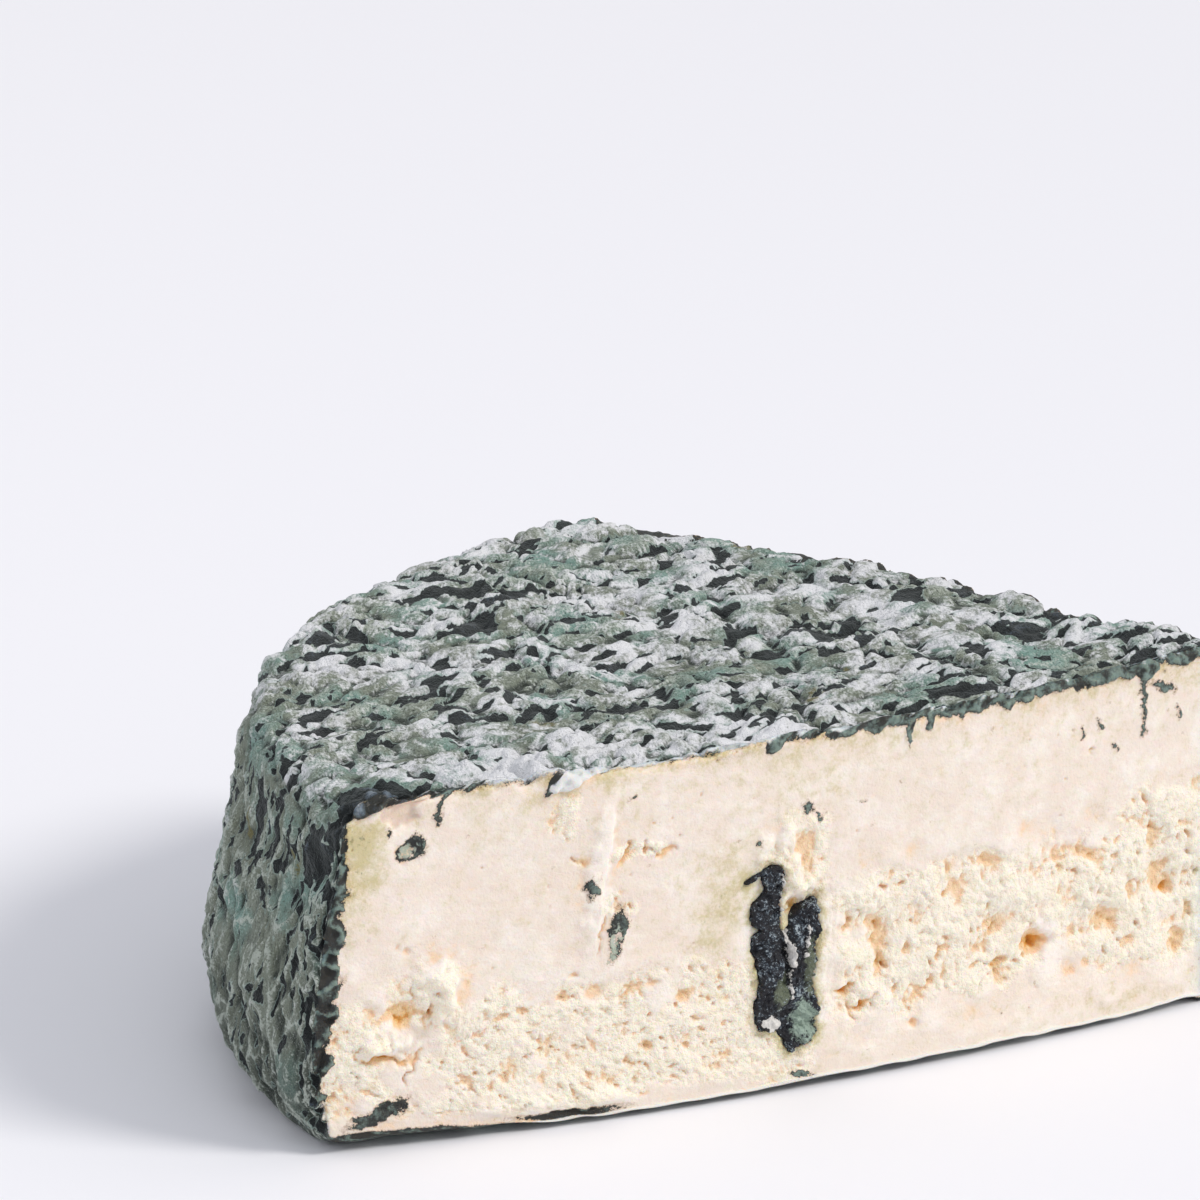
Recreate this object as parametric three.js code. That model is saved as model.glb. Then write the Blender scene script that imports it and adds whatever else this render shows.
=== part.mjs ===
// A wedge of mould-ripened blue cheese, cut from a small thick wheel.
//
// Millimetres, +Z up. The origin is the middle of the underside's outline box. The long cut, with the bare paste,
// faces -Y; the wheel's rim is on the left (-X) and round the back left; the thin end points to +X.
//
// The whole piece is one body: paste, rind and blue vein are grown together. The body is worked out from the sizes
// below in three steps. The plan is a closed line: long cut, thin end, second cut, rim. The wall carries that line from
// the underside up a slumped rim profile. The top and the underside close it. Then the relief is laid on the surface
// along its own normal: puffed wrinkles on the rind, crumb, torn lumps, pits and the mould vein on the cuts.
import * as THREE from "three";

// ---------------------------------------------------------------- driving sizes
const HEIGHT = 60; // thickness at the rim's shoulder
const DOME = 4.3; // the wheel swells by this much from the rim to the thin end
const RIM_RADIUS = 120; // the wheel's radius at the shoulder
const FRONT_CORNER_DEG = 185; // where the long cut leaves the rim, seen from the wheel's middle
const FAR_CORNER_DEG = 95; // where the second cut leaves the rim
const CUT_LENGTH = 166.5; // the long cut, rim to thin end
const CUT_BOW = 7.2; // how far the long cut bulges out
const CUT_BOW_SKEW = [0.2, 0.25]; // second and third harmonics of that bulge
const BACK_BOW = 3.5; // how far the second cut bulges out
const TIP_RADIUS = 2.2; // the thin end is a little blunt
const PLAN_SHIFT = [40.171, -52.952]; // from the wheel's middle to the origin

// The rim's profile, bottom to top: [how far it stands out from the shoulder, height].
const RIM_PROFILE = [
  [-3.0, 0],
  [0.2, 0.45],
  [2.3, 1.7],
  [4.3, 7],
  [5.3, 12],
  [5.6, 17.8],
  [4.9, 25.5],
  [3.7, 32],
  [2.9, 38.4],
  [1.0, 46.5],
  [0, 52.8],
  [-1.2, 56.3],
  [-3.6, 58.8],
  [-7.5, 60],
];
// The cuts go straight up, with a hardly broken edge at the top and the bottom.
const CUT_PROFILE = [
  [-1.0, 0],
  [0, 0.7],
  [0, 1.9],
  [0, 7],
  [0, 12],
  [0, 17.8],
  [0, 25.5],
  [0, 32],
  [0, 38.4],
  [0, 46.5],
  [0, 52.8],
  [0, 56.3],
  [0, 59.2],
  [-1.0, 60],
];
const CORNER_BLEND = 13; // along a cut, the rim's rounded section turns into the straight one over this length

// Pits and hollows torn in the long cut: [along the cut, height, half width, half height, depth].
const PITS = [
  [131.0, 18.2, 3.2, 2.4, 3.4],
  [157.2, 24.8, 3.0, 3.6, 3.1],
  [122.2, 33.8, 2.0, 1.4, 1.2],
  [136.4, 33.0, 2.5, 1.5, 1.3],
  [97.4, 13.4, 2.1, 1.4, 1.3],
  [138.4, 23.6, 1.9, 2.2, 1.3],
  [113.6, 30.0, 2.1, 2.4, 1.1],
  [47.3, 22.8, 1.8, 1.4, 1.1],
  [11.9, 51.2, 2.4, 2.0, 1.2],
  [9.9, 57.2, 3.7, 2.9, 1.0],
  [12.5, 15.8, 4.4, 1.1, 1.1],
  [14.9, 23.4, 2.4, 3.2, 1.0],
  [84.7, 41.2, 1.7, 3.6, 0.9],
];
// Lumps of curd that stand proud of it: [along the cut, height, half width, half height, height of the lump].
const LUMPS = [
  [20.0, 27.2, 3.9, 4.6, 1.8],
  [11.4, 19.8, 3.2, 2.4, 0.9],
  [25.0, 21.0, 4.5, 3.0, 0.6],
  [32.0, 4.2, 6.5, 2.5, 1.0],
  [46.5, 4.2, 6.5, 2.6, 0.9],
  [46.3, 43.0, 1.9, 11.5, 0.9],
  [76.6, 42.5, 1.2, 2.8, 0.9],
  [80.4, 44.0, 1.6, 4.6, 1.3],
  [82.4, 39.2, 1.7, 2.8, 1.2],
  [85.4, 36.6, 2.3, 1.3, 1.0],
  [126.0, 28.5, 4.8, 4.0, 1.0],
  [144.5, 27.0, 4.6, 4.6, 1.0],
  [151.5, 15.5, 4.6, 3.2, 0.8],
  [110.0, 19.0, 4.8, 3.4, 0.7],
];
// The blue vein: two strips of mould crust side by side, with a trench between and an open hollow at the top.
const VEIN_STRIPS = [
  [78.0, 25.6, 3.0, 14.8, 1.9],
  [85.2, 20.4, 2.9, 13.0, 1.7],
];
const VEIN_TRENCH = [82.2, 24.5, 1.2, 9.5, 2.3];
const VEIN_HOLLOW = [82.9, 32.6, 2.4, 3.0, 2.9];

// How many facets: along the long cut (closer together at the vein), the second cut, the rim; up the wall; in the ends.
const VEIN_SPAN = [72, 90];
const FRONT_STEPS = [26, 14, 27];
const BACK_STEPS = 26;
const RIM_STEPS = 49;
const WALL_STEPS = 28;
// The rings of the top and the underside, as shares of the way out, with half as many points after each mark.
const TOP_RINGS = [0.966, 0.93, 0.892, 0.852, "half", 0.8, 0.745, 0.69, 0.63, 0.57, "half", 0.5, 0.42, 0.33, "half", 0.22, 0.1];
const UNDER_RINGS = ["half", 0.7, "half", 0.35];

// ---------------------------------------------------------------- noise
const fract = (a) => a - Math.floor(a);
const hash = (i, j, k) =>
  fract(Math.sin(i * 127.1 + j * 311.7 + k * 74.7) * 43758.5453) * 2 - 1;
const ease = (t) => t * t * t * (t * (t * 6 - 15) + 10);
const mix = (a, b, t) => a + (b - a) * t;
const smooth = (lo, hi, a) => {
  const t = Math.min(1, Math.max(0, (a - lo) / (hi - lo)));
  return t * t * (3 - 2 * t);
};

/** Smooth noise from -1 to 1 that changes over about one unit. */
function noise(x, y, z) {
  const i = Math.floor(x),
    j = Math.floor(y),
    k = Math.floor(z);
  const u = ease(x - i),
    v = ease(y - j),
    w = ease(z - k);
  const row = (b, c) => mix(hash(i, b, c), hash(i + 1, b, c), u);
  const sheet = (c) => mix(row(j, c), row(j + 1, c), v);
  return mix(sheet(k), sheet(k + 1), w);
}

/** A smooth hill of height one over an ellipse, and nothing outside about twice its size. */
function hill(x, z, [cx, cz, rx, rz]) {
  const d = Math.hypot((x - cx) / rx, (z - cz) / rz);
  return Math.exp(-Math.pow(d, 2.6) * 0.9);
}

// ---------------------------------------------------------------- the plain shape
const rad = THREE.MathUtils.degToRad;
const onRim = (deg, radius) =>
  new THREE.Vector2(Math.cos(rad(deg)), Math.sin(rad(deg))).multiplyScalar(
    radius,
  );
const FRONT_CORNER = onRim(FRONT_CORNER_DEG, RIM_RADIUS);
const FAR_CORNER = onRim(FAR_CORNER_DEG, RIM_RADIUS);
const TIP = new THREE.Vector2(FRONT_CORNER.x + CUT_LENGTH, FRONT_CORNER.y);

/** Reads a profile table at a share of the way up, on a smooth curve through its points. */
function profileAt(table, share) {
  const last = table.length - 1;
  const at = Math.min(last - 1e-9, Math.max(0, share * last));
  const i = Math.floor(at),
    t = at - i;
  const get = (n) => table[Math.min(last, Math.max(0, n))];
  return [0, 1].map((c) => {
    const [a, b, d, e] = [get(i - 1)[c], get(i)[c], get(i + 1)[c], get(i + 2)[c]];
    const m0 = (d - a) / 2,
      m1 = (e - b) / 2;
    return (
      (2 * t ** 3 - 3 * t ** 2 + 1) * b +
      (t ** 3 - 2 * t ** 2 + t) * m0 +
      (3 * t ** 2 - 2 * t ** 3) * d +
      (t ** 3 - t ** 2) * m1
    );
  });
}

/** How far the long cut bulges out at a share of its length. */
const frontBow = (s) =>
  CUT_BOW * Math.sin(Math.PI * s) +
  CUT_BOW_SKEW[0] * Math.sin(2 * Math.PI * s) +
  CUT_BOW_SKEW[1] * Math.sin(3 * Math.PI * s);

/** The swell of the wheel: heights grow from the rim towards the thin end. */
const swell = (x) =>
  1 + (DOME / HEIGHT) * Math.min(1, Math.max(0, (x - FRONT_CORNER.x) / CUT_LENGTH));

/** One point of the wall: station of the outline (its kind and share) and share of the way up. */
function wallPoint(station, up) {
  const [rimOut, rimZ] = profileAt(RIM_PROFILE, up);
  const [cutOut, cutZ] = profileAt(CUT_PROFILE, up);
  const s = station.share;
  if (station.kind === "rim") {
    const deg = mix(FAR_CORNER_DEG, FRONT_CORNER_DEG, s);
    const p = onRim(deg, RIM_RADIUS + rimOut);
    return [p.x, p.y, rimZ * swell(p.x)];
  }
  if (station.kind === "front") {
    const from = onRim(FRONT_CORNER_DEG, RIM_RADIUS + rimOut);
    const fromRim = smooth(0, CORNER_BLEND, s * CUT_LENGTH);
    const x = mix(from.x, TIP.x - TIP_RADIUS, s);
    const y = mix(from.y, TIP.y, s) - frontBow(s) - cutOut * fromRim;
    return [x, y, mix(rimZ, cutZ, fromRim) * swell(x)];
  }
  const corner = onRim(FAR_CORNER_DEG, RIM_RADIUS + rimOut);
  const along = FAR_CORNER.clone().sub(TIP);
  const length = along.length();
  along.normalize();
  const out = new THREE.Vector2(along.y, -along.x);
  const start = TIP.clone().addScaledVector(along, TIP_RADIUS * 1.4);
  if (station.kind === "tip") {
    // the blunt thin end, between the two cuts
    const a = new THREE.Vector2(TIP.x - TIP_RADIUS, TIP.y);
    const mid = TIP.clone().add(new THREE.Vector2(0.1 - cutOut * -0.6, 0.2));
    const p = a
      .multiplyScalar((1 - s) ** 2)
      .addScaledVector(mid, 2 * s * (1 - s))
      .addScaledVector(start, s ** 2);
    return [p.x, p.y - cutOut * (1 - s), cutZ * swell(p.x)];
  }
  const fromRim = smooth(0, CORNER_BLEND, (1 - s) * length);
  const p = new THREE.Vector2(mix(start.x, corner.x, s), mix(start.y, corner.y, s));
  p.addScaledVector(out, BACK_BOW * Math.sin(Math.PI * s) + cutOut * fromRim);
  return [p.x, p.y, mix(rimZ, cutZ, fromRim) * swell(p.x)];
}

/** The stations round the outline, anticlockwise from above: long cut, thin end, second cut, rim. */
function stations() {
  const list = [];
  const marks = [0, ...VEIN_SPAN, CUT_LENGTH];
  FRONT_STEPS.forEach((steps, part) => {
    for (let i = 0; i < steps; i++)
      list.push({
        kind: "front",
        share: mix(marks[part], marks[part + 1], i / steps) / CUT_LENGTH,
      });
  });
  list.push({ kind: "front", share: 1 }, { kind: "tip", share: 0.5 });
  for (let i = 0; i < BACK_STEPS; i++)
    list.push({ kind: "back", share: i / BACK_STEPS });
  for (let i = 0; i < RIM_STEPS; i++)
    list.push({ kind: "rim", share: i / RIM_STEPS });
  return list;
}

// ---------------------------------------------------------------- the relief
/** Puffed, wrinkled mould skin: broad lumps, and cushions parted by narrow creases. */
function rindRelief(x, y, z, upward) {
  const stretch = mix(0.62, 1, upward); // the wrinkles on the rim run up and down
  const wx = 3.2 * noise(x / 15, y / 15, z / 15 + 3.7);
  const wy = 3.2 * noise(x / 15 + 11.3, y / 15, z / 15);
  const wz = 3.2 * noise(x / 15, y / 15 + 7.9, z / 15);
  const lumps = noise(x / 27 + 5.1, y / 27, z / 27 + 1.3);
  const size = mix(8.5, 10.5, upward);
  const cushion = Math.abs(
    noise((x + wx) / size, (y + wy) / size, ((z + wz) * stretch) / size + 9.2),
  );
  return 1.25 * lumps + 2.5 * (cushion - 0.27);
}

/** The long cut: smooth above, crumbly below and to the right, with the named lumps, pits and vein. */
function cutRelief(a, z) {
  const wave = 0.45 * noise(a / 23, 0.5, z / 17);
  const lower = 1 - smooth(24, 36, z + 3 * noise(a / 14, 2.2, 0.3));
  const right = smooth(84, 96, a) * smooth(8, 15, z) * (1 - smooth(37, 44, z));
  const rough = 0.12 + 0.38 * lower + 0.6 * right;
  let h =
    wave +
    rough *
      (noise(a / 4.6, 8.1, z / 3.9) + 0.6 * noise(a / 8.2, 4.4, z / 6.3));
  for (const l of LUMPS)
    h += l[4] * hill(a, z, l) * (0.8 + 0.35 * noise(a / 2.6, 6.6, z / 2.6));
  for (const p of PITS) h -= p[4] * hill(a, z, p);
  let crust = 0;
  for (const v of VEIN_STRIPS)
    crust = Math.max(
      crust,
      v[4] * hill(a, z, v) * (0.9 + 0.55 * noise(a / 2.3, 1.7, z / 3.1)),
    );
  h += crust;
  h -= VEIN_TRENCH[4] * hill(a, z, VEIN_TRENCH);
  h -= VEIN_HOLLOW[4] * hill(a, z, VEIN_HOLLOW);
  return h;
}

/** The second cut: the same paste, without a vein. */
function backRelief(a, z) {
  const rough = 0.2 + 0.35 * smooth(20, 34, z + 4 * noise(a / 16, 5.5, 1.3));
  return (
    0.5 * noise(a / 21, 3.5, z / 18) +
    rough *
      (noise(a / 5.4, 2.1, z / 4.4) + 0.6 * noise(a / 9.1, 7.4, z / 7.2))
  );
}

// ---------------------------------------------------------------- the body
function cheeseBody() {
  const around = stations();
  const n = around.length;
  const points = [];
  const tags = []; // what the surface is at each point
  const faces = [];
  const ring = (make) => {
    const first = points.length;
    around.forEach((station, i) => {
      const [p, tag] = make(station, i);
      points.push(p);
      tags.push(tag);
    });
    return first;
  };
  const join = (lower, upper) => {
    for (let i = 0; i < n; i++) {
      const j = (i + 1) % n;
      faces.push(lower + i, lower + j, upper + j, lower + i, upper + j, upper + i);
    }
  };

  // wall
  const wall = [];
  for (let k = 0; k <= WALL_STEPS; k++)
    wall.push(
      ring((station) => [
        wallPoint(station, k / WALL_STEPS),
        { kind: station.kind, share: station.share, k },
      ]),
    );
  for (let k = 0; k < WALL_STEPS; k++) join(wall[k], wall[k + 1]);

  // top and underside, closing in on one point
  const centre = [-42, 37];
  const close = (edge, marks, level, kind, up) => {
    const face = (a, b, c) => (up ? faces.push(a, b, c) : faces.push(a, c, b));
    let previous = edge,
      count = n,
      halve = false;
    for (const mark of marks) {
      if (mark === "half") {
        halve = true;
        continue;
      }
      const step = halve ? 2 : 1;
      const size = count / step;
      const first = points.length;
      for (let i = 0; i < size; i++) {
        const [x, y] = points[edge + i * (n / size)];
        const px = mix(centre[0], x, mark),
          py = mix(centre[1], y, mark);
        points.push([px, py, level * swell(px)]);
        tags.push({ kind });
      }
      for (let i = 0; i < size; i++) {
        const j = (i + 1) % size;
        const a = previous + i * step,
          c = previous + ((i + 1) * step) % count;
        if (halve) {
          const b = a + 1;
          face(a, b, first + i);
          face(b, c, first + j);
          face(b, first + j, first + i);
        } else {
          face(a, c, first + j);
          face(a, first + j, first + i);
        }
      }
      previous = first;
      count = size;
      halve = false;
    }
    const pole = points.length;
    points.push([centre[0], centre[1], level * swell(centre[0])]);
    tags.push({ kind });
    for (let i = 0; i < count; i++)
      face(previous + i, previous + ((i + 1) % count), pole);
  };
  close(wall[WALL_STEPS], TOP_RINGS, HEIGHT, "top", true);
  close(wall[0], UNDER_RINGS, 0, "under", false);

  // the relief, laid on along the plain shape's own normals
  const geometry = new THREE.BufferGeometry();
  geometry.setAttribute(
    "position",
    new THREE.Float32BufferAttribute(points.flat(), 3),
  );
  geometry.setIndex(faces);
  geometry.computeVertexNormals();
  const normal = geometry.getAttribute("normal");
  const position = geometry.getAttribute("position");
  const backLength = FAR_CORNER.distanceTo(TIP);
  for (let i = 0; i < points.length; i++) {
    const [x, y, z] = points[i];
    const tag = tags[i];
    if (tag.kind === "under" || tag.k === 0) continue;
    const rind = rindRelief(x, y, z, Math.max(0, normal.getZ(i)));
    let height = rind;
    if (tag.kind === "front") {
      const along = tag.share * CUT_LENGTH;
      const cut = cutRelief(along, z);
      height = mix(rind, cut, smooth(0, 4, along) * (1 - smooth(HEIGHT - 1.5, HEIGHT + 3, z)));
      height *= 1 - 0.6 * smooth(CUT_LENGTH - 5, CUT_LENGTH, along);
    } else if (tag.kind === "tip") height = 0.3 * cutRelief(CUT_LENGTH, z);
    else if (tag.kind === "back") {
      const along = tag.share * backLength;
      height = mix(rind, backRelief(along, z), smooth(0, 4, backLength - along));
      height *= 0.4 + 0.6 * smooth(0, 5, along);
    }
    height *= smooth(0, 5, z);
    position.setXYZ(
      i,
      x + normal.getX(i) * height + PLAN_SHIFT[0],
      y + normal.getY(i) * height + PLAN_SHIFT[1],
      Math.max(z + normal.getZ(i) * height, tag.kind === "top" ? 0 : 0.15),
    );
  }
  for (let i = 0; i < points.length; i++)
    if (tags[i].kind === "under" || tags[i].k === 0)
      position.setXYZ(
        i,
        points[i][0] + PLAN_SHIFT[0],
        points[i][1] + PLAN_SHIFT[1],
        0,
      );
  geometry.deleteAttribute("normal");
  geometry.computeVertexNormals();
  return geometry;
}

const ripeCheese = new THREE.MeshStandardMaterial({
  color: "#e9dcc6",
  roughness: 0.62,
  metalness: 0,
});

const wedge = new THREE.Mesh(cheeseBody(), ripeCheese);
wedge.name = "cheese_wedge";

const part = new THREE.Group();
part.add(wedge);
export default part;
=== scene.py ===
"""A wedge of blue cheese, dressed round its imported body.

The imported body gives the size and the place. Every visible surface is worked out again at a finer grain
from the same named sizes: the wrinkled mould rind on the rim, the top and the underside, the crumbly
paste on the two cuts, and the crust of blue mould in the vein. All shapes are in millimetres, counted
from the middle of the whole wheel, and BodyPlan.place brings them to the part's own frame in metres.
"""

import logging
import math
from dataclasses import dataclass, field
from enum import Enum

import bpy
import numpy as np
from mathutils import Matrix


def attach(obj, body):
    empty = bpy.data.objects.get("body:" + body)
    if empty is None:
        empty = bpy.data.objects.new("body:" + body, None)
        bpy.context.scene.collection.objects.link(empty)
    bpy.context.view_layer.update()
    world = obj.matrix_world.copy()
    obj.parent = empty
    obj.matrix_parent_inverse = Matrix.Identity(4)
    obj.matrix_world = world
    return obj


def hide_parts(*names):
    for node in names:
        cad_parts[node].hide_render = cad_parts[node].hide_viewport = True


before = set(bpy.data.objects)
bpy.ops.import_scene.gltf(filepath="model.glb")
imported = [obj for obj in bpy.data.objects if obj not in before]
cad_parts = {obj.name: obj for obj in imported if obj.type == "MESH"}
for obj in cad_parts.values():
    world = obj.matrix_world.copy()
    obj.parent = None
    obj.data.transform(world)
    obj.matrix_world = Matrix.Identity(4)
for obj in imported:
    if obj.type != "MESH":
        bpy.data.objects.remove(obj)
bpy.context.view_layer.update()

LOG = logging.getLogger("blue_cheese_wedge")
NODE = "cheese_wedge"
Array = np.ndarray
Place = tuple[float, ...]
Way = tuple[tuple[float, float], ...]
Lines = tuple[tuple[tuple[float, float], tuple[float, float], float], ...]
UP = np.array([0, 0, 1.0])


# ------------------------------------------------------------------------------------------------ numbers
def smooth(low: float, high: float, value: Array) -> Array:
    """Rises from 0 to 1 between low and high: t * t * (3 - 2 t), with t the share of the way, held to 0..1.

    Args:
        low: where the rise starts.
        high: where it ends.
        value: the numbers to map.

    Returns:
        The risen shares, shaped as value.
    """
    t = np.clip((value - low) / (high - low), 0.0, 1.0)
    return t * t * (3.0 - 2.0 * t)


def mix(a: Array, b: Array, t: Array) -> Array:
    """Goes straight from a to b by the share t."""
    return a + (b - a) * t


def unit(v: Array) -> Array:
    """Scales each vector on the last axis to length one."""
    return v / np.maximum(np.linalg.norm(v, axis=-1, keepdims=True), 1e-9)


def lean(way: Array, *parts: tuple[Array, Array]) -> Array:
    """Turns a direction towards others: it is added to each of them times its share, and made length one.

    Args:
        way: the direction.
        *parts: pairs of share and direction.

    Returns:
        The turned direction.
    """
    for share, other in parts:
        way = way + share[..., None] * other
    return unit(way)


def close_to(distance: Array, width: float) -> Array:
    """Falls from 1 at an edge to 0 at a width from it."""
    return 1 - smooth(0, width, distance)


def points_at(x: Array, y: Array | float, z: Array | float = 0.0) -> Array:
    """Joins loose coordinates to points, with x, y, z on the last axis."""
    return np.stack(np.broadcast_arrays(x, y, z), -1)


def soften(grid: Array, cells: int) -> Array:
    """Blurs a grid of numbers: three passes of a moving mean, 2 cells + 1 wide, along both axes.

    Args:
        grid: the grid.
        cells: how far the mean reaches to each side.

    Returns:
        The blurred grid.
    """
    out = grid
    width = 2 * cells + 1
    for _ in range(3):
        for axis in (0, 1):
            pad = [(0, 0), (0, 0)]
            pad[axis] = (cells + 1, cells)
            total = np.cumsum(np.pad(out, pad, mode="edge"), axis=axis)
            if axis == 0:
                out = (total[width:] - total[:-width]) / width
            else:
                out = (total[:, width:] - total[:, :-width]) / width
    return out


def plain_noise(x: Array, y: Array | float, z: Array | float) -> Array:
    """The body's own noise, -1 to 1: a hash of the cell's corners, eased between them.

    The hash of a corner (i, j, k) is the broken part of 43758.5453 sin(127.1 i + 311.7 j + 74.7 k).

    Args:
        x: first coordinate, in cells.
        y: second coordinate.
        z: third coordinate.

    Returns:
        The noise at each point.
    """
    x, y, z = np.broadcast_arrays(x, y, z)
    i, j, k = np.floor(x), np.floor(y), np.floor(z)

    def ease(t: Array) -> Array:
        """Eases a share with a fifth-power curve."""
        return t * t * t * (t * (t * 6 - 15) + 10)

    def corner(a: int, b: int, c: int) -> Array:
        """Hashes one corner of the cell."""
        s = np.sin((i + a) * 127.1 + (j + b) * 311.7 + (k + c) * 74.7) * 43758.5453
        return (s - np.floor(s)) * 2 - 1

    u, v, w = ease(x - i), ease(y - j), ease(z - k)
    low = mix(mix(corner(0, 0, 0), corner(1, 0, 0), u), mix(corner(0, 1, 0), corner(1, 1, 0), u), v)
    high = mix(mix(corner(0, 0, 1), corner(1, 0, 1), u), mix(corner(0, 1, 1), corner(1, 1, 1), u), v)
    return mix(low, high, w)


@dataclass
class Grain:
    """Seeded noise on arrays of points: waves like folds and smears, and grains like curd.

    Attributes:
        seed: the number the tables are drawn from.
        order: the numbers 0 to 1023 in a drawn order.
        slopes: 1024 drawn directions.
        seats: 1024 drawn places in a cell.
    """

    seed: int
    order: Array = field(init=False, repr=False)
    slopes: Array = field(init=False, repr=False)
    seats: Array = field(init=False, repr=False)

    def __post_init__(self) -> None:
        """Draws the tables."""
        rng = np.random.default_rng(self.seed)
        self.order = rng.permutation(1024).astype(np.int32)
        self.slopes = unit(rng.normal(size=(1024, 3))).astype(np.float32)
        self.seats = rng.random((1024, 3)).astype(np.float32)

    def _key(self, i: Array, j: Array, k: Array) -> Array:
        """Gives each cell its own entry in the tables."""
        a = self.order[i & 1023]
        b = self.order[(a + j) & 1023]
        return self.order[(b + k) & 1023]

    def waves(self, p: Array, size: float = 1.0, apart: float = 0.0) -> Array:
        """Gradient noise, about -1 to 1: the slopes at a cell's corners, each met at its distance, eased.

        Args:
            p: points, with x, y, z on the last axis.
            size: the length of a wave, which is the side of a cell.
            apart: how many cells off it is read, which sets one noise apart from the others.

        Returns:
            The noise at each point.
        """
        p = p / size + apart
        base = np.floor(p).astype(np.int32)
        f = (p - base).astype(np.float32)
        u = f * f * f * (f * (f * 6 - 15) + 10)
        total = np.zeros(p.shape[:-1], np.float32)
        for dx in (0, 1):
            wx = u[..., 0] if dx else 1 - u[..., 0]
            for dy in (0, 1):
                wy = u[..., 1] if dy else 1 - u[..., 1]
                for dz in (0, 1):
                    wz = u[..., 2] if dz else 1 - u[..., 2]
                    slope = self.slopes[self._key(base[..., 0] + dx, base[..., 1] + dy, base[..., 2] + dz)]
                    met = (
                        slope[..., 0] * (f[..., 0] - dx)
                        + slope[..., 1] * (f[..., 1] - dy)
                        + slope[..., 2] * (f[..., 2] - dz)
                    )
                    total += wx * wy * wz * met
        return total * 1.7

    def push(self, p: Array, size: float, aparts: tuple[float, float, float]) -> Array:
        """Three noises as one vector, by which points are pushed about."""
        return np.stack([self.waves(p, size, apart) for apart in aparts], -1)

    def grains(self, p: Array, size: float, apart: float) -> tuple[Array, Array]:
        """Distances to the nearest and second nearest seat, one seat lying somewhere in each cell.

        Args:
            p: points, with x, y, z on the last axis.
            size: the side of a cell.
            apart: how many cells off it is read.

        Returns:
            The two distances, in cells.
        """
        p = p / size + apart
        base = np.floor(p).astype(np.int32)
        f = (p - base).astype(np.float32)
        first = np.full(p.shape[:-1], 9.0, np.float32)
        second = first.copy()
        for dx in (-1, 0, 1):
            for dy in (-1, 0, 1):
                for dz in (-1, 0, 1):
                    seat = self.seats[self._key(base[..., 0] + dx, base[..., 1] + dy, base[..., 2] + dz)]
                    gap = seat + np.array([dx, dy, dz], np.float32) - f
                    d = np.sqrt((gap * gap).sum(-1))
                    second = np.minimum(second, np.maximum(first, d))
                    first = np.minimum(first, d)
        return first, second


def spot(a: Array, z: Array, place: Place, turn: float = 0.0) -> Array:
    """How far inside an ellipse a point is, in millimetres: (1 - r) times its smaller half width.

    Args:
        a: distance along the cut.
        z: height.
        place: middle along, middle height, half width, half height.
        turn: how far the ellipse is turned, in degrees.

    Returns:
        Positive inside, negative outside.
    """
    c, s = math.cos(math.radians(turn)), math.sin(math.radians(turn))
    u = (a - place[0]) * c + (z - place[1]) * s
    v = (z - place[1]) * c - (a - place[0]) * s
    r = np.sqrt((u / place[2]) ** 2 + (v / place[3]) ** 2)
    return (1 - r) * min(place[2], place[3])


def streak(a: Array, z: Array, start: tuple[float, float], end: tuple[float, float], half: float) -> Array:
    """How far inside a straight streak a point is: half its width less the distance to its middle line."""
    run = np.array([end[0] - start[0], end[1] - start[1]])
    t = ((a - start[0]) * run[0] + (z - start[1]) * run[1]) / float(run @ run)
    t = np.clip(t, 0, 1)
    return half - np.hypot(a - start[0] - t * run[0], z - start[1] - t * run[1])


def hill(a: Array, z: Array, place: Place) -> Array:
    """A flat-topped hill of height one over an ellipse (middle, half widths): e to the power -0.9 r^2.6."""
    r = np.hypot((a - place[0]) / place[2], (z - place[1]) / place[3])
    return np.exp(-(r**2.6) * 0.9)


def glow(a: Array, z: Array, place: Place) -> Array:
    """A soft patch of height one, with its middle and its two reaches given: e to the power -(u^2 + v^2)."""
    return np.exp(-(((a - place[0]) / place[2]) ** 2 + ((z - place[1]) / place[3]) ** 2))


def streaks(a: Array, z: Array, rows: Lines) -> Array:
    """How far inside the nearest of some streaks a point is."""
    return np.maximum.reduce([streak(a, z, start, end, half) for start, end, half in rows])


def on_cut(a: Array, z: Array, deep: float = 7.7) -> Array:
    """Points of a cut laid flat, turned by 33 degrees, so that no noise is read along its own grid.

    Args:
        a: distance along the cut.
        z: height.
        deep: how far back.

    Returns:
        The points to read noise at.
    """
    c, s = math.cos(math.radians(33)), math.sin(math.radians(33))
    return np.stack([c * a - s * z, s * a + c * z, np.full_like(a, deep)], -1)


def inside_of(a: Array, z: Array, corners: Way) -> Array:
    """How far inside a closed outline of straight sides a point is: the distance to its nearest side.

    A point is inside where a level line from it crosses the outline an odd number of times.

    Args:
        a: distance along the cut.
        z: height.
        corners: the outline's corners.

    Returns:
        Positive inside, negative outside.
    """
    ends = np.asarray(corners, float)
    near = np.full(a.shape, -1e9)
    odd = np.zeros(a.shape, bool)
    for start, end in zip(ends, np.roll(ends, -1, axis=0)):
        near = np.maximum(near, streak(a, z, tuple(start), tuple(end), 0.0))
        crosses = (start[1] > z) != (end[1] > z)
        odd ^= crosses & (a < start[0] + (z - start[1]) * (end[0] - start[0]) / (end[1] - start[1] + 1e-9))
    return np.where(odd, -near, near)


# ------------------------------------------------------------------------------------------------ the body
class Piece(Enum):
    """The pieces of the wedge, by name."""

    RIM = "rind_rim"
    TOP = "rind_top"
    UNDERSIDE = "rind_underside"
    FRONT_CUT = "cut_paste_front"
    BACK_CUT = "cut_paste_back"
    VEIN = "vein_mould"


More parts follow.
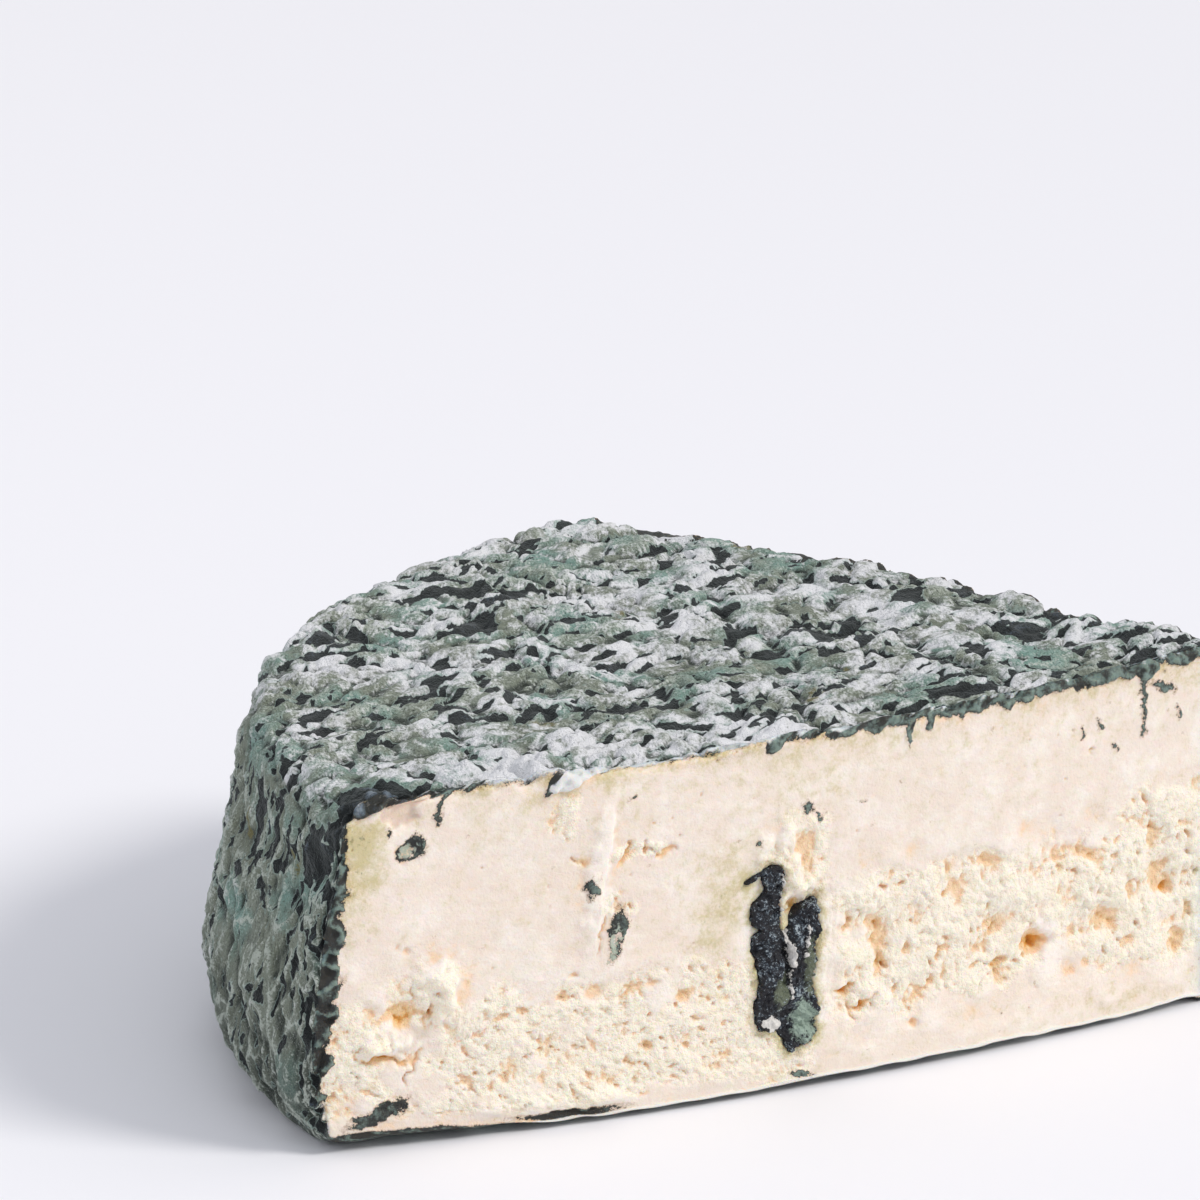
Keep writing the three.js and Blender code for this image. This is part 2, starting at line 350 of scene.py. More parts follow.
@dataclass(frozen=True)
class BodyPlan:
    """The plain wedge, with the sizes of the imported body, and the broad relief that the body carries.

    Attributes:
        height: the wheel's thickness at the rim.
        dome: how much thicker it is at the thin end.
        rim_radius: the wheel's radius.
        front_corner_deg: where the long cut meets the rim, as an angle round the wheel.
        far_corner_deg: where the second cut meets it.
        cut_length: the long cut's length.
        cut_bow: how far the long cut bulges, as the heights of three sines.
        back_bow: how far the second cut bulges.
        tip_radius: how blunt the thin end is.
        tip_run: the length of the blunt end round its curve.
        corner_blend: how far from the rim a cut takes to lose the rim's profile.
        rim_edge: how far from the rim's side edges a face starts to turn over.
        top_edge: how far from the edges of the top it does.
        cut_rise: about the length of a cut's profile, by which its rows are counted.
        shift: from the wheel's middle to the part's frame.
        rim_profile: the rim from foot to top, how far out and how high.
        cut_profile: the same for a cut.
    """

    height: float = 60.0
    dome: float = 4.3
    rim_radius: float = 120.0
    front_corner_deg: float = 185.0
    far_corner_deg: float = 95.0
    cut_length: float = 166.5
    cut_bow: tuple[float, float, float] = (7.2, 0.2, 0.25)
    back_bow: float = 3.5
    tip_radius: float = 2.2
    tip_run: float = 3.3
    corner_blend: float = 13.0
    rim_edge: float = 2.5
    top_edge: float = 1.8
    cut_rise: float = 64.0
    shift: tuple[float, float] = (40.171, -52.952)
    rim_profile: Way = (
        (-3.0, 0), (0.2, 0.45), (2.3, 1.7), (4.3, 7), (5.3, 12), (5.6, 17.8), (4.9, 25.5),
        (3.7, 32), (2.9, 38.4), (1.0, 46.5), (0, 52.8), (-1.2, 56.3), (-3.6, 58.8), (-7.5, 60),
    )
    cut_profile: Way = (
        (-1.0, 0), (0, 0.7), (0, 1.9), (0, 7), (0, 12), (0, 17.8), (0, 25.5),
        (0, 32), (0, 38.4), (0, 46.5), (0, 52.8), (0, 56.3), (0, 59.2), (-1.0, 60),
    )

    @property
    def corner_x(self) -> float:
        """The long cut's left end."""
        return self.rim_radius * math.cos(math.radians(self.front_corner_deg))

    @property
    def tip(self) -> Array:
        """The thin end, where the two cuts meet."""
        y = self.rim_radius * math.sin(math.radians(self.front_corner_deg))
        return np.array([self.corner_x + self.cut_length, y])

    @property
    def far_corner(self) -> Array:
        """Where the second cut leaves the rim."""
        turn = math.radians(self.far_corner_deg)
        return self.rim_radius * np.array([math.cos(turn), math.sin(turn)])

    @property
    def back_length(self) -> float:
        """The second cut's length."""
        return float(np.linalg.norm(self.far_corner - self.tip))

    @property
    def tail_length(self) -> float:
        """The second cut's length with the blunt thin end before it."""
        return self.back_length + self.tip_run

    def profile(self, table: Way, share: Array) -> tuple[Array, Array]:
        """Reads a profile at a share of the way up: a cubic through its points, sloped by their neighbours.

        Args:
            table: the profile's points, how far out and how high.
            share: the shares of the way up.

        Returns:
            How far out, and how high.
        """
        pts = np.asarray(table, float)
        last = len(pts) - 1
        at = np.clip(np.asarray(share, float) * last, 0, last - 1e-9)
        i = np.floor(at).astype(int)
        t = (at - i)[..., None]
        a, b = pts[np.maximum(i - 1, 0)], pts[i]
        d, e = pts[np.minimum(i + 1, last)], pts[np.minimum(i + 2, last)]
        m0, m1 = (d - a) / 2, (e - b) / 2
        out = (
            (2 * t**3 - 3 * t**2 + 1) * b
            + (t**3 - 2 * t**2 + t) * m0
            + (3 * t**2 - 2 * t**3) * d
            + (t**3 - t**2) * m1
        )
        return out[..., 0], out[..., 1]

    def even_rows(self, tables: tuple[Way, ...], count: int) -> Array:
        """Shares of the way up that are evenly spaced along the mean of some profiles.

        Args:
            tables: the profiles.
            count: how many shares.

        Returns:
            The shares, from 0 to 1.
        """
        fine = np.linspace(0, 1, 4001)
        total = np.zeros_like(fine)
        for table in tables:
            out, z = self.profile(table, fine)
            run = np.concatenate([[0], np.cumsum(np.hypot(np.diff(out), np.diff(z)))])
            total += run / run[-1]
        return np.interp(np.linspace(0, 1, count), total / total[-1], fine)

    def share_at(self, height: Array) -> Array:
        """The share of the way up a cut at a height, before the wheel's swell."""
        fine = np.linspace(0, 1, 4001)
        return np.interp(height, self.profile(self.cut_profile, fine)[1], fine)

    def swell(self, x: Array) -> Array:
        """How much taller the wheel is here than at its rim: it grows evenly towards the thin end."""
        return 1 + self.dome / self.height * np.clip((x - self.corner_x) / self.cut_length, 0, 1)

    def bow(self, s: Array) -> Array:
        """How far the long cut bulges out: three sines of its length."""
        b = self.cut_bow
        return b[0] * np.sin(np.pi * s) + b[1] * np.sin(2 * np.pi * s) + b[2] * np.sin(3 * np.pi * s)

    def rim(self, deg: Array, up: Array) -> Array:
        """A point of the rim: a circle of the wheel's radius, plus the profile's own reach, at an angle.

        Args:
            deg: angle round the wheel.
            up: share of the way up.

        Returns:
            The points, in millimetres.
        """
        out, z = self.profile(self.rim_profile, up)
        deg, out, z = np.broadcast_arrays(deg, out, z)
        turn = np.radians(deg)
        x, y = (self.rim_radius + out) * np.cos(turn), (self.rim_radius + out) * np.sin(turn)
        return np.stack([x, y, z * self.swell(x)], -1)

    def rim_out(self, deg: Array, up: Array) -> Array:
        """The way out of the rim: the circle's way out, tipped by the profile's slope."""
        out_a, z_a = self.profile(self.rim_profile, np.clip(up - 0.004, 0, 1))
        out_b, z_b = self.profile(self.rim_profile, np.clip(up + 0.004, 0, 1))
        deg, run, rise = np.broadcast_arrays(deg, out_b - out_a, z_b - z_a)
        turn = np.radians(deg)
        return unit(np.stack([rise * np.cos(turn), rise * np.sin(turn), -run], -1))

    def front(self, s: Array, up: Array) -> Array:
        """A point of the long cut: a straight line from the rim to the thin end, bowed out.

        Near the rim the heights are those of the rim's profile, further on those of the cut's.

        Args:
            s: share of the way from the rim to the thin end.
            up: share of the way up.

        Returns:
            The points, in millimetres.
        """
        rim_out, rim_z = self.profile(self.rim_profile, up)
        cut_out, cut_z = self.profile(self.cut_profile, up)
        s, rim_out, rim_z, cut_out, cut_z = np.broadcast_arrays(s, rim_out, rim_z, cut_out, cut_z)
        turn = math.radians(self.front_corner_deg)
        reach = self.rim_radius + rim_out
        from_rim = smooth(0, self.corner_blend, s * self.cut_length)
        x = mix(reach * math.cos(turn), self.tip[0] - self.tip_radius, s)
        y = mix(reach * math.sin(turn), self.tip[1], s) - self.bow(s) - cut_out * from_rim
        return np.stack([x, y, mix(rim_z, cut_z, from_rim) * self.swell(x)], -1)

    def front_out(self, s: Array) -> Array:
        """The way out of the long cut: straight towards -Y, turned by the bow's slope."""
        slope = (self.bow(s + 1e-3) - self.bow(s - 1e-3)) / (2e-3 * self.cut_length)
        return unit(np.stack([-slope, -np.ones_like(slope), np.zeros_like(slope)], -1))

    def tail(self, q: Array, up: Array) -> Array:
        """A point of the second cut, with the blunt thin end before it.

        The thin end is a curve of the second degree between the two cuts. The cut is a line to the far
        corner, bowed out by a sine.

        Args:
            q: share of the way from the long cut's end to the far corner.
            up: share of the way up.

        Returns:
            The points, in millimetres.
        """
        rim_out, rim_z = self.profile(self.rim_profile, up)
        cut_out, cut_z = self.profile(self.cut_profile, up)
        q, rim_out, rim_z, cut_out, cut_z = np.broadcast_arrays(q, rim_out, rim_z, cut_out, cut_z)
        along = (self.far_corner - self.tip) / self.back_length
        out = np.array([along[1], -along[0]])
        start = self.tip + along * self.tip_radius * 1.4
        blunt = self.tip_run / self.tail_length
        t = np.clip(q / blunt, 0, 1)
        mid_x, mid_y = self.tip[0] + 0.1 + 0.6 * cut_out, self.tip[1] + 0.2
        tip_x = (self.tip[0] - self.tip_radius) * (1 - t) ** 2 + mid_x * 2 * t * (1 - t) + start[0] * t**2
        tip_y = self.tip[1] * (1 - t) ** 2 + mid_y * 2 * t * (1 - t) + start[1] * t**2 - cut_out * (1 - t)
        s = np.clip((q - blunt) / (1 - blunt), 0, 1)
        turn = math.radians(self.far_corner_deg)
        reach = self.rim_radius + rim_out
        from_rim = smooth(0, self.corner_blend, (1 - s) * self.back_length)
        push = self.back_bow * np.sin(np.pi * s) + cut_out * from_rim
        back_x = mix(start[0], reach * math.cos(turn), s) + out[0] * push
        back_y = mix(start[1], reach * math.sin(turn), s) + out[1] * push
        on_tip = q < blunt
        x, y = np.where(on_tip, tip_x, back_x), np.where(on_tip, tip_y, back_y)
        z = np.where(on_tip, cut_z, mix(rim_z, cut_z, from_rim))
        return np.stack([x, y, z * self.swell(x)], -1)

    def tail_out(self, q: Array) -> Array:
        """The way out of the second cut and of the blunt thin end, turned from the one to the other."""
        along = (self.far_corner - self.tip) / self.back_length
        back = np.array([along[1], -along[0], 0.0])
        ahead = self.front_out(np.array(1.0))
        return unit(mix(ahead, back, smooth(0, self.tip_run / self.tail_length, q)[..., None]))

    def lid(self, w: Array, t: Array, up: float) -> Array:
        """A point of the top or the underside, spanned between the rim's edge and the second cut's edge.

        Rows run straight from the rim at one end to the second cut at the other. The first row is the
        long cut's own edge, and its bow fades with the square of the rest of the way.

        Args:
            w: share of the way along a row.
            t: share of the way from the long cut to the far corner.
            up: 1 for the top, 0 for the underside.

        Returns:
            The points, in millimetres.
        """
        w, t = np.broadcast_arrays(w, t)
        edge = np.asarray(up, float)

        def straight(t: Array) -> Array:
            """A row without any bow."""
            left = self.rim(mix(self.front_corner_deg, self.far_corner_deg, t), edge)
            return mix(left, self.tail(t, edge), w[..., None])

        bow = self.front(w, edge) - straight(np.zeros_like(t))
        point = straight(t) + bow * ((1 - t) ** 2)[..., None]
        point[..., 2] = (self.height if up else 0.0) * self.swell(point[..., 0])
        return point

    def place(self, p: Array) -> Array:
        """Brings millimetres from the wheel's middle to metres in the part's frame."""
        return (p + np.array([self.shift[0], self.shift[1], 0.0])) * 0.001

    def lift(self, a: Array, away: Array, z: Array) -> Array:
        """How far the foot of the long cut is off the table: the crust's edge curls up a little there.

        It is 1.25 mm, and 0.6 mm more at the rim's end. It wavers by 0.5 mm and 0.3 mm along the cut,
        and fades 4 mm in from the cut and 7 mm up.

        Args:
            a: distance along the cut.
            away: distance from the cut's foot, in plan.
            z: height.

        Returns:
            The lift, in millimetres.
        """
        curl = 1.25 + 0.6 * np.exp(-((a / 16) ** 2)) + 0.5 * plain_noise(a / 13, 0.7, 4.2)
        curl = curl + 0.3 * plain_noise(a / 4.5, 3.7, 1.2)
        return curl * np.exp(-((away / 4.0) ** 2)) * (1 - smooth(0, 7, z))

    def rind_relief(self, p: Array, upward: Array) -> Array:
        """The body's broad rind relief: lumps 27 mm apart, and cushions 8.5 to 10.5 mm apart.

        The cushions are the size of a noise, read at points that another noise 15 mm long has pushed by
        3.2 mm.

        Args:
            p: points, in millimetres.
            upward: 0 on the rim to 1 on the top.

        Returns:
            How far the skin stands out, in millimetres.
        """
        x, y, z = p[..., 0], p[..., 1], p[..., 2]
        stretch = mix(0.62, 1.0, upward)
        wx = 3.2 * plain_noise(x / 15, y / 15, z / 15 + 3.7)
        wy = 3.2 * plain_noise(x / 15 + 11.3, y / 15, z / 15)
        wz = 3.2 * plain_noise(x / 15, y / 15 + 7.9, z / 15)
        lumps = plain_noise(x / 27 + 5.1, y / 27, z / 27 + 1.3)
        size = mix(8.5, 10.5, upward)
        cushion = np.abs(plain_noise((x + wx) / size, (y + wy) / size, (z + wz) * stretch / size + 9.2))
        return 1.25 * lumps + 2.5 * (cushion - 0.27)

    def upward(self, p: Array) -> Array:
        """How much a point of the rind belongs to the top: it rises over the shoulder."""
        return smooth(50, 59.5, p[..., 2] / self.swell(p[..., 0]))


# The body's pits and lumps on the long cut: along, height, half width, half height, depth or height.
PITS = (
    (131.0, 18.2, 3.2, 2.4, 3.4), (157.2, 24.8, 3.0, 3.6, 3.1), (122.2, 33.8, 2.0, 1.4, 1.2),
    (136.4, 33.0, 2.5, 1.5, 1.3), (97.4, 13.4, 2.1, 1.4, 1.3), (138.4, 23.6, 1.9, 2.2, 1.3),
    (113.6, 30.0, 2.1, 2.4, 1.1), (47.3, 22.8, 1.8, 1.4, 1.1), (11.9, 51.2, 2.4, 2.0, 1.2),
    (9.9, 57.2, 3.7, 2.9, 1.0), (12.5, 15.8, 4.4, 1.1, 1.1), (14.9, 23.4, 2.4, 3.2, 1.0),
    (84.7, 41.2, 1.7, 3.6, 0.9),
)
LUMPS = (
    (20.0, 27.2, 3.9, 4.6, 1.8), (11.4, 19.8, 3.2, 2.4, 0.9), (25.0, 21.0, 4.5, 3.0, 0.6),
    (32.0, 4.2, 6.5, 2.5, 1.0), (46.5, 4.2, 6.5, 2.6, 0.9), (46.3, 43.0, 1.9, 11.5, 0.9),
    (76.6, 42.5, 1.2, 2.8, 0.9), (80.4, 44.0, 1.6, 4.6, 1.3), (82.4, 39.2, 1.7, 2.8, 1.2),
    (85.4, 36.6, 2.3, 1.3, 1.0), (126.0, 28.5, 4.8, 4.0, 1.0), (144.5, 27.0, 4.6, 4.6, 1.0),
    (151.5, 15.5, 4.6, 3.2, 0.8), (110.0, 19.0, 4.8, 3.4, 0.7),
)
# Small holes, too fine for the body: along, height, half width, half height, depth.
HOLES = (
    (99.7, 26.7, 0.8, 1.3, 1.2), (99.1, 24.3, 0.8, 0.7, 1.1), (105.5, 21.7, 0.8, 1.4, 1.2),
    (101.0, 19.7, 1.1, 1.0, 1.2), (93.7, 16.5, 1.5, 0.6, 1.3), (106.6, 8.3, 0.9, 0.8, 1.0),
    (112.3, 20.5, 1.2, 0.6, 0.9), (121.6, 18.8, 0.6, 1.3, 1.1), (119.0, 16.2, 1.2, 0.6, 0.9),
    (124.4, 15.5, 1.8, 0.6, 1.0), (150.3, 14.3, 1.3, 1.1, 1.0), (153.4, 19.5, 0.6, 1.0, 0.9),
    (112.5, 34.5, 0.6, 1.2, 0.8), (141.5, 32.2, 1.1, 0.9, 1.1), (141.3, 50.4, 0.6, 0.4, 0.7),
    (42.1, 22.9, 1.1, 0.8, 1.0), (56.8, 12.2, 1.2, 0.9, 1.1), (63.5, 20.1, 1.4, 0.9, 1.0),
    (66.0, 15.8, 1.2, 0.6, 0.9), (58.0, 23.2, 1.3, 0.6, 0.8), (43.5, 26.4, 0.8, 0.5, 0.7),
    (39.3, 14.3, 1.6, 1.5, 0.5), (44.5, 14.4, 0.9, 0.5, 0.7), (47.4, 13.7, 0.7, 0.7, 0.7),
    (14.0, 34.2, 0.6, 0.5, 0.5), (12.0, 35.2, 0.5, 0.4, 0.5), (132.3, 17.2, 1.1, 1.1, 1.6),
    (158.9, 22.3, 1.2, 1.0, 1.8),
)
# Lumpy patches of torn paste beside the broad zones: along, height, half width, half height.
TORN_PATCHES = (
    (18.2, 24.6, 8.0, 8.6), (38.5, 53.5, 3.0, 4.0), (53.0, 46.5, 5.0, 2.0), (50.5, 37.0, 3.5, 3.5),
)
# Small marks of mould: along, height, half width, half height, and their turn in degrees.
SPOTS = (
    ((45.1, 41.5, 0.9, 1.7), 10), ((156.6, 59.2, 2.6, 0.8), -20), ((84.0, 49.6, 1.0, 0.4), -30),
    ((86.5, 48.1, 0.8, 0.5), -30), ((75.6, 44.4, 0.6, 0.6), 0), ((95.0, 49.0, 0.6, 0.3), -20),
    ((50.4, 55.4, 0.5, 0.4), 0), ((8.3, 54.3, 0.4, 0.4), 0), ((9.4, 6.1, 6.0, 1.5), 25),
    ((83.6, 1.7, 1.9, 0.8), -20),
)
# Thin marks of mould: from, to, half width.
STREAKS = (
    ((14.6, 60.2), (16.4, 55.7), 0.5), ((152.0, 64.0), (152.5, 55.6), 0.55),
    ((152.5, 55.6), (152.6, 51.0), 0.3), ((142.6, 55.0), (143.8, 53.8), 0.3),
    ((138.9, 54.8), (139.1, 52.8), 0.25), ((145.9, 50.8), (146.8, 49.2), 0.33),
    ((159.9, 55.0), (160.3, 52.9), 0.33),
)
# Cracks on the long cut: from, to, half width.
CRACKS = (
    ((40.9, 46.3), (43.2, 45.2), 0.15), ((50.7, 47.9), (49.6, 45.2), 0.3), ((53.5, 47.5), (55.4, 45.6), 0.15),
    ((55.4, 45.6), (59.5, 45.9), 0.25), ((8.4, 16.4), (15.8, 15.2), 0.3), ((17.2, 16.4), (15.3, 11.7), 0.15),
    ((48.0, 36.5), (47.6, 30.5), 0.1), ((92.6, 16.5), (95.2, 16.9), 0.4), ((96.2, 13.0), (99.2, 14.4), 0.45),
)
# The curl of curd that stands up at the left of the long cut: from, to, half width.
CURL = (
    ((17.4, 29.6), (20.0, 29.8), 1.3), ((20.0, 29.8), (21.6, 27.6), 1.9), ((21.6, 27.6), (21.6, 24.6), 1.7),
    ((21.6, 24.6), (20.4, 22.4), 1.2), ((9.0, 18.2), (12.6, 17.8), 1.0), ((12.6, 17.8), (15.6, 18.6), 1.0),
)
# The outline of the vein's crust on the long cut, anticlockwise from its top left: along, height.
VEIN_OUTLINE = (
    (77.0, 40.1), (76.6, 38.6), (77.1, 36.4), (75.2, 33.7), (75.1, 31.6), (76.7, 29.4), (75.7, 28.1),
    (75.9, 25.8), (77.0, 22.6), (77.7, 19.4), (76.7, 16.6), (76.4, 13.9), (77.2, 12.0), (80.3, 10.9),
    (81.7, 9.6), (82.2, 7.3), (84.7, 8.2), (86.7, 8.2), (87.9, 10.2), (88.3, 14.6), (87.4, 18.6),
    (87.5, 22.4), (88.0, 27.8), (88.1, 31.2), (87.3, 33.6), (85.2, 33.5), (83.5, 31.8), (82.7, 30.2),
    (81.9, 29.0), (81.0, 29.4), (80.5, 34.2), (80.9, 36.0), (80.4, 39.4), (79.3, 40.6),
)


PLAN = BodyPlan()
FOLDS = Grain(11)
CURDS = Grain(23)


def frayed(
    a: Array, z: Array, reach: tuple[float, float], size: tuple[float, float], apart: float
) -> tuple[Array, Array]:
    """Pushes places of a cut about by two noises, which frays the edge of whatever is drawn at them.

    Args:
        a: distance along the cut.
        z: height.
        reach: how far each noise pushes.
        size: how long its waves are.
        apart: where the first noise is read; each further one is one cell on.

    Returns:
        The pushed distance and height.
    """
    p = on_cut(a, z)
    first, second = ([CURDS.waves(p, size[i], apart + i + k) * reach[i] for i in (0, 1)] for k in (0, 2))
    return a + first[0] + first[1], z + second[0] + second[1]


# ------------------------------------------------------------------------------------------------ meshes
@dataclass
class Sheet:
    """A grid of points over one face, which becomes one closed piece.

    The grid is the face itself. It is closed by a fan from its rim to a point inside the cheese.

    Attributes:
        points: the grid, in millimetres.
        outward: the way out of the face at each point.
        heart: the point inside that closes the piece.
        marks: named numbers at each point, which the finish reads.
    """

    points: Array
    outward: Array
    heart: tuple[float, float, float] = (-42.0, 37.0, 30.0)
    marks: dict[str, Array] = field(default_factory=dict)

    def raise_by(self, height: Array) -> None:
        """Moves each point out by a height."""
        self.points = self.points + self.outward * height[..., None]

    def piece(self, name: str) -> bpy.types.Object:
        """Makes the mesh: two triangles a cell, doubled points joined, the fan behind, its rim kept sharp.

        Args:
            name: the piece's name.

        Returns:
            The new object, at the origin.
        """
        m, n = self.points.shape[:2]
        ids = np.arange(m * n).reshape(m, n)
        a, b, c, d = ids[:-1, :-1].ravel(), ids[1:, :-1].ravel(), ids[1:, 1:].ravel(), ids[:-1, 1:].ravel()
        odd = (np.add.outer(np.arange(m - 1), np.arange(n - 1)) % 2 == 1).ravel()
        one = np.where(odd[:, None], np.stack([a, b, d], 1), np.stack([a, b, c], 1))
        two = np.where(odd[:, None], np.stack([b, c, d], 1), np.stack([a, c, d], 1))
        tris = np.concatenate([one, two])
        loop = np.concatenate([ids[:-1, 0], ids[-1, :-1], ids[:0:-1, -1], ids[0, :0:-1]])
        points = self.points.reshape(-1, 3)
        mid = (m // 2) * n + n // 2
        p, q, r = points[mid], points[mid + n], points[mid + 1]
        if np.cross(q - p, r - p) @ self.outward.reshape(-1, 3)[mid] < 0:
            tris = tris[:, ::-1]
            loop = loop[::-1]
        heart = m * n
        points = np.concatenate([points, [self.heart]])
        fan = np.stack([np.roll(loop, -1), loop, np.full_like(loop, heart)], 1)
        tris = np.concatenate([tris, fan])
        placed = PLAN.place(points)
        _, keep, back = np.unique(np.round(placed, 7), axis=0, return_index=True, return_inverse=True)
        back = back.reshape(-1)
        tris = back[tris]
        whole = (tris[:, 0] != tris[:, 1]) & (tris[:, 1] != tris[:, 2]) & (tris[:, 0] != tris[:, 2])
        tris = tris[whole]
        mesh = bpy.data.meshes.new(name)
        mesh.vertices.add(len(keep))
        mesh.vertices.foreach_set("co", placed[keep].astype(np.float32).ravel())
        mesh.loops.add(len(tris) * 3)
        mesh.loops.foreach_set("vertex_index", tris.astype(np.int32).ravel())
        mesh.polygons.add(len(tris))
        mesh.polygons.foreach_set("loop_start", np.arange(0, len(tris) * 3, 3, dtype=np.int32))
        mesh.polygons.foreach_set("use_smooth", np.ones(len(tris), bool))
        mesh.update(calc_edges=True)
        for mark, values in self.marks.items():
            line = mesh.attributes.new(mark, "FLOAT", "POINT")
            spread = np.concatenate([values.ravel(), [0.0]])[keep]
            line.data.foreach_set("value", spread.astype(np.float32))
        count = len(keep)
        rim = back[loop].astype(np.int64)
        after = np.roll(rim, -1)
        keys = np.minimum(rim, after) * count + np.maximum(rim, after)
        edges = np.empty(len(mesh.edges) * 2, np.int32)
        mesh.edges.foreach_get("vertices", edges)
        edges = edges.reshape(-1, 2).astype(np.int64)
        edge_keys = edges.min(1) * count + edges.max(1)
        sharp = mesh.attributes.new("sharp_edge", "BOOLEAN", "EDGE")
        sharp.data.foreach_set("value", np.isin(edge_keys, keys))
        obj = bpy.data.objects.new(name, mesh)
        bpy.context.scene.collection.objects.link(obj)
        return obj


# ------------------------------------------------------------------------------------------------ finishes
def linear(code: str) -> tuple[float, float, float, float]:
    """Turns an sRGB hex colour to linear light.

    Args:
        code: the colour, such as "#a0b1c2".

    Returns:
        Red, green, blue and a full alpha.
    """
    parts = [int(code[i : i + 2], 16) / 255 for i in (1, 3, 5)]
    r, g, b = (v / 12.92 if v <= 0.04045 else ((v + 0.055) / 1.055) ** 2.4 for v in parts)
    return (r, g, b, 1.0)


def add_node(tree: bpy.types.NodeTree, kind: str, feeds: dict, **settings) -> bpy.types.Node:
    """Adds a node with its settings, and feeds its sockets with values or with other nodes' sockets.

    Args:
        tree: the material's tree.
        kind: the node's type.
        feeds: socket name or number to value or socket.
        **settings: the node's own settings.

    Returns:
        The node.
    """
    node = tree.nodes.new(kind)
    for key, value in settings.items():
        setattr(node, key, value)
    for key, value in feeds.items():
        if isinstance(value, bpy.types.NodeSocket):
            tree.links.new(value, node.inputs[key])
        else:
            node.inputs[key].default_value = value
    return node


Socket = bpy.types.NodeSocket
Colour = tuple[float, float, float, float]


@dataclass
class Palette:
    """Builds up one material: colours laid over each other, under a single Principled shader.

    Attributes:
        name: the material's name.
        base: its first colour.
        material: the material.
        tree: its tree.
        colour: the colour so far, or the socket that gives it.
        where: the socket with the piece's own coordinates, in metres.
    """

    name: str
    base: str
    material: bpy.types.Material = field(init=False)
    tree: bpy.types.NodeTree = field(init=False)
    colour: Socket | Colour = field(init=False)
    where: Socket = field(init=False)

    def __post_init__(self) -> None:
        """Starts the material with nothing but its first colour."""
        self.material = bpy.data.materials.new(self.name)
        self.material.use_nodes = True
        self.tree = self.material.node_tree
        self.tree.nodes.clear()
        self.colour = linear(self.base)
        self.where = add_node(self.tree, "ShaderNodeTexCoord", {}).outputs["Object"]

    def mark(self, name: str) -> Socket:
        """The socket of one of the piece's own marks."""
        return add_node(self.tree, "ShaderNodeAttribute", {}, attribute_name=name).outputs["Fac"]

    def noise(self, size_mm: float, detail: float = 3.0) -> Socket:
        """Noise whose waves are so many millimetres long, as a socket about 0, mostly within -1 to 1.

        Args:
            size_mm: the length of a wave.
            detail: how many finer waves ride on it.

        Returns:
            The noise's socket.
        """
        feeds = {"Vector": self.where, "Scale": 1000.0 / size_mm, "Detail": detail, "Roughness": 0.6}
        made = add_node(self.tree, "ShaderNodeTexNoise", feeds)
        return self.sums((made.outputs["Fac"], 4.0), base=-2.0)

    def sums(self, *parts: tuple[Socket, float], base: float = 0.0) -> Socket:
        """Adds sockets, each times its own weight, to a base.

        Args:
            *parts: pairs of socket and weight.
            base: the number to start from.

        Returns:
            The sum's socket.
        """
        total: Socket | float = base
        for socket, weight in parts:
            feeds = {0: socket, 1: weight, 2: total}
            total = add_node(self.tree, "ShaderNodeMath", feeds, operation="MULTIPLY_ADD").outputs[0]
        return total

    def times(self, one: Socket, other: Socket) -> Socket:
        """One socket times another."""
        return add_node(self.tree, "ShaderNodeMath", {0: one, 1: other}, operation="MULTIPLY").outputs[0]

    def rise(self, value: Socket, low: float, high: float, top: float = 1.0) -> Socket:
        """A share that rises smoothly from 0 at low to top at high."""
        feeds = {"Value": value, "From Min": low, "From Max": high, "To Min": 0.0, "To Max": top}
        made = add_node(self.tree, "ShaderNodeMapRange", feeds, interpolation_type="SMOOTHSTEP")
        return made.outputs["Result"]

    def lay(self, code: str, share: Socket) -> None:
        """Lays a colour over what is there, by a share."""
        feeds = {0: share, 6: self.colour, 7: linear(code)}
        self.colour = add_node(self.tree, "ShaderNodeMix", feeds, data_type="RGBA").outputs[2]

    def relief(self, *layers: Place, share: Socket | None = None) -> Socket:
        """A fine relief from noises, as the normal that the shader takes.

        Args:
            *layers: wave length and depth of each noise, in millimetres.
            share: how much of the relief each place gets, where it isn't even.

        Returns:
            The normal's socket.
        """
        height = self.sums(*((self.noise(size, 2.0), depth) for size, depth in layers))
        if share is not None:
            height = self.times(height, share)
        feeds = {"Height": height, "Distance": 0.001, "Strength": 1.0}
        return add_node(self.tree, "ShaderNodeBump", feeds).outputs[0]

    def finish(self, **surface: float | Colour | Socket) -> bpy.types.Material:
        """Puts the layers of colour on a Principled shader.

        Args:
            **surface: its other sockets by name, with _ for a space.

        Returns:
            The material.
        """
        feeds = {"Base Color": self.colour}
        feeds.update({name.replace("_", " "): value for name, value in surface.items()})
        shader = add_node(self.tree, "ShaderNodeBsdfPrincipled", feeds)
        add_node(self.tree, "ShaderNodeOutputMaterial", {"Surface": shader.outputs[0]})
        return self.material


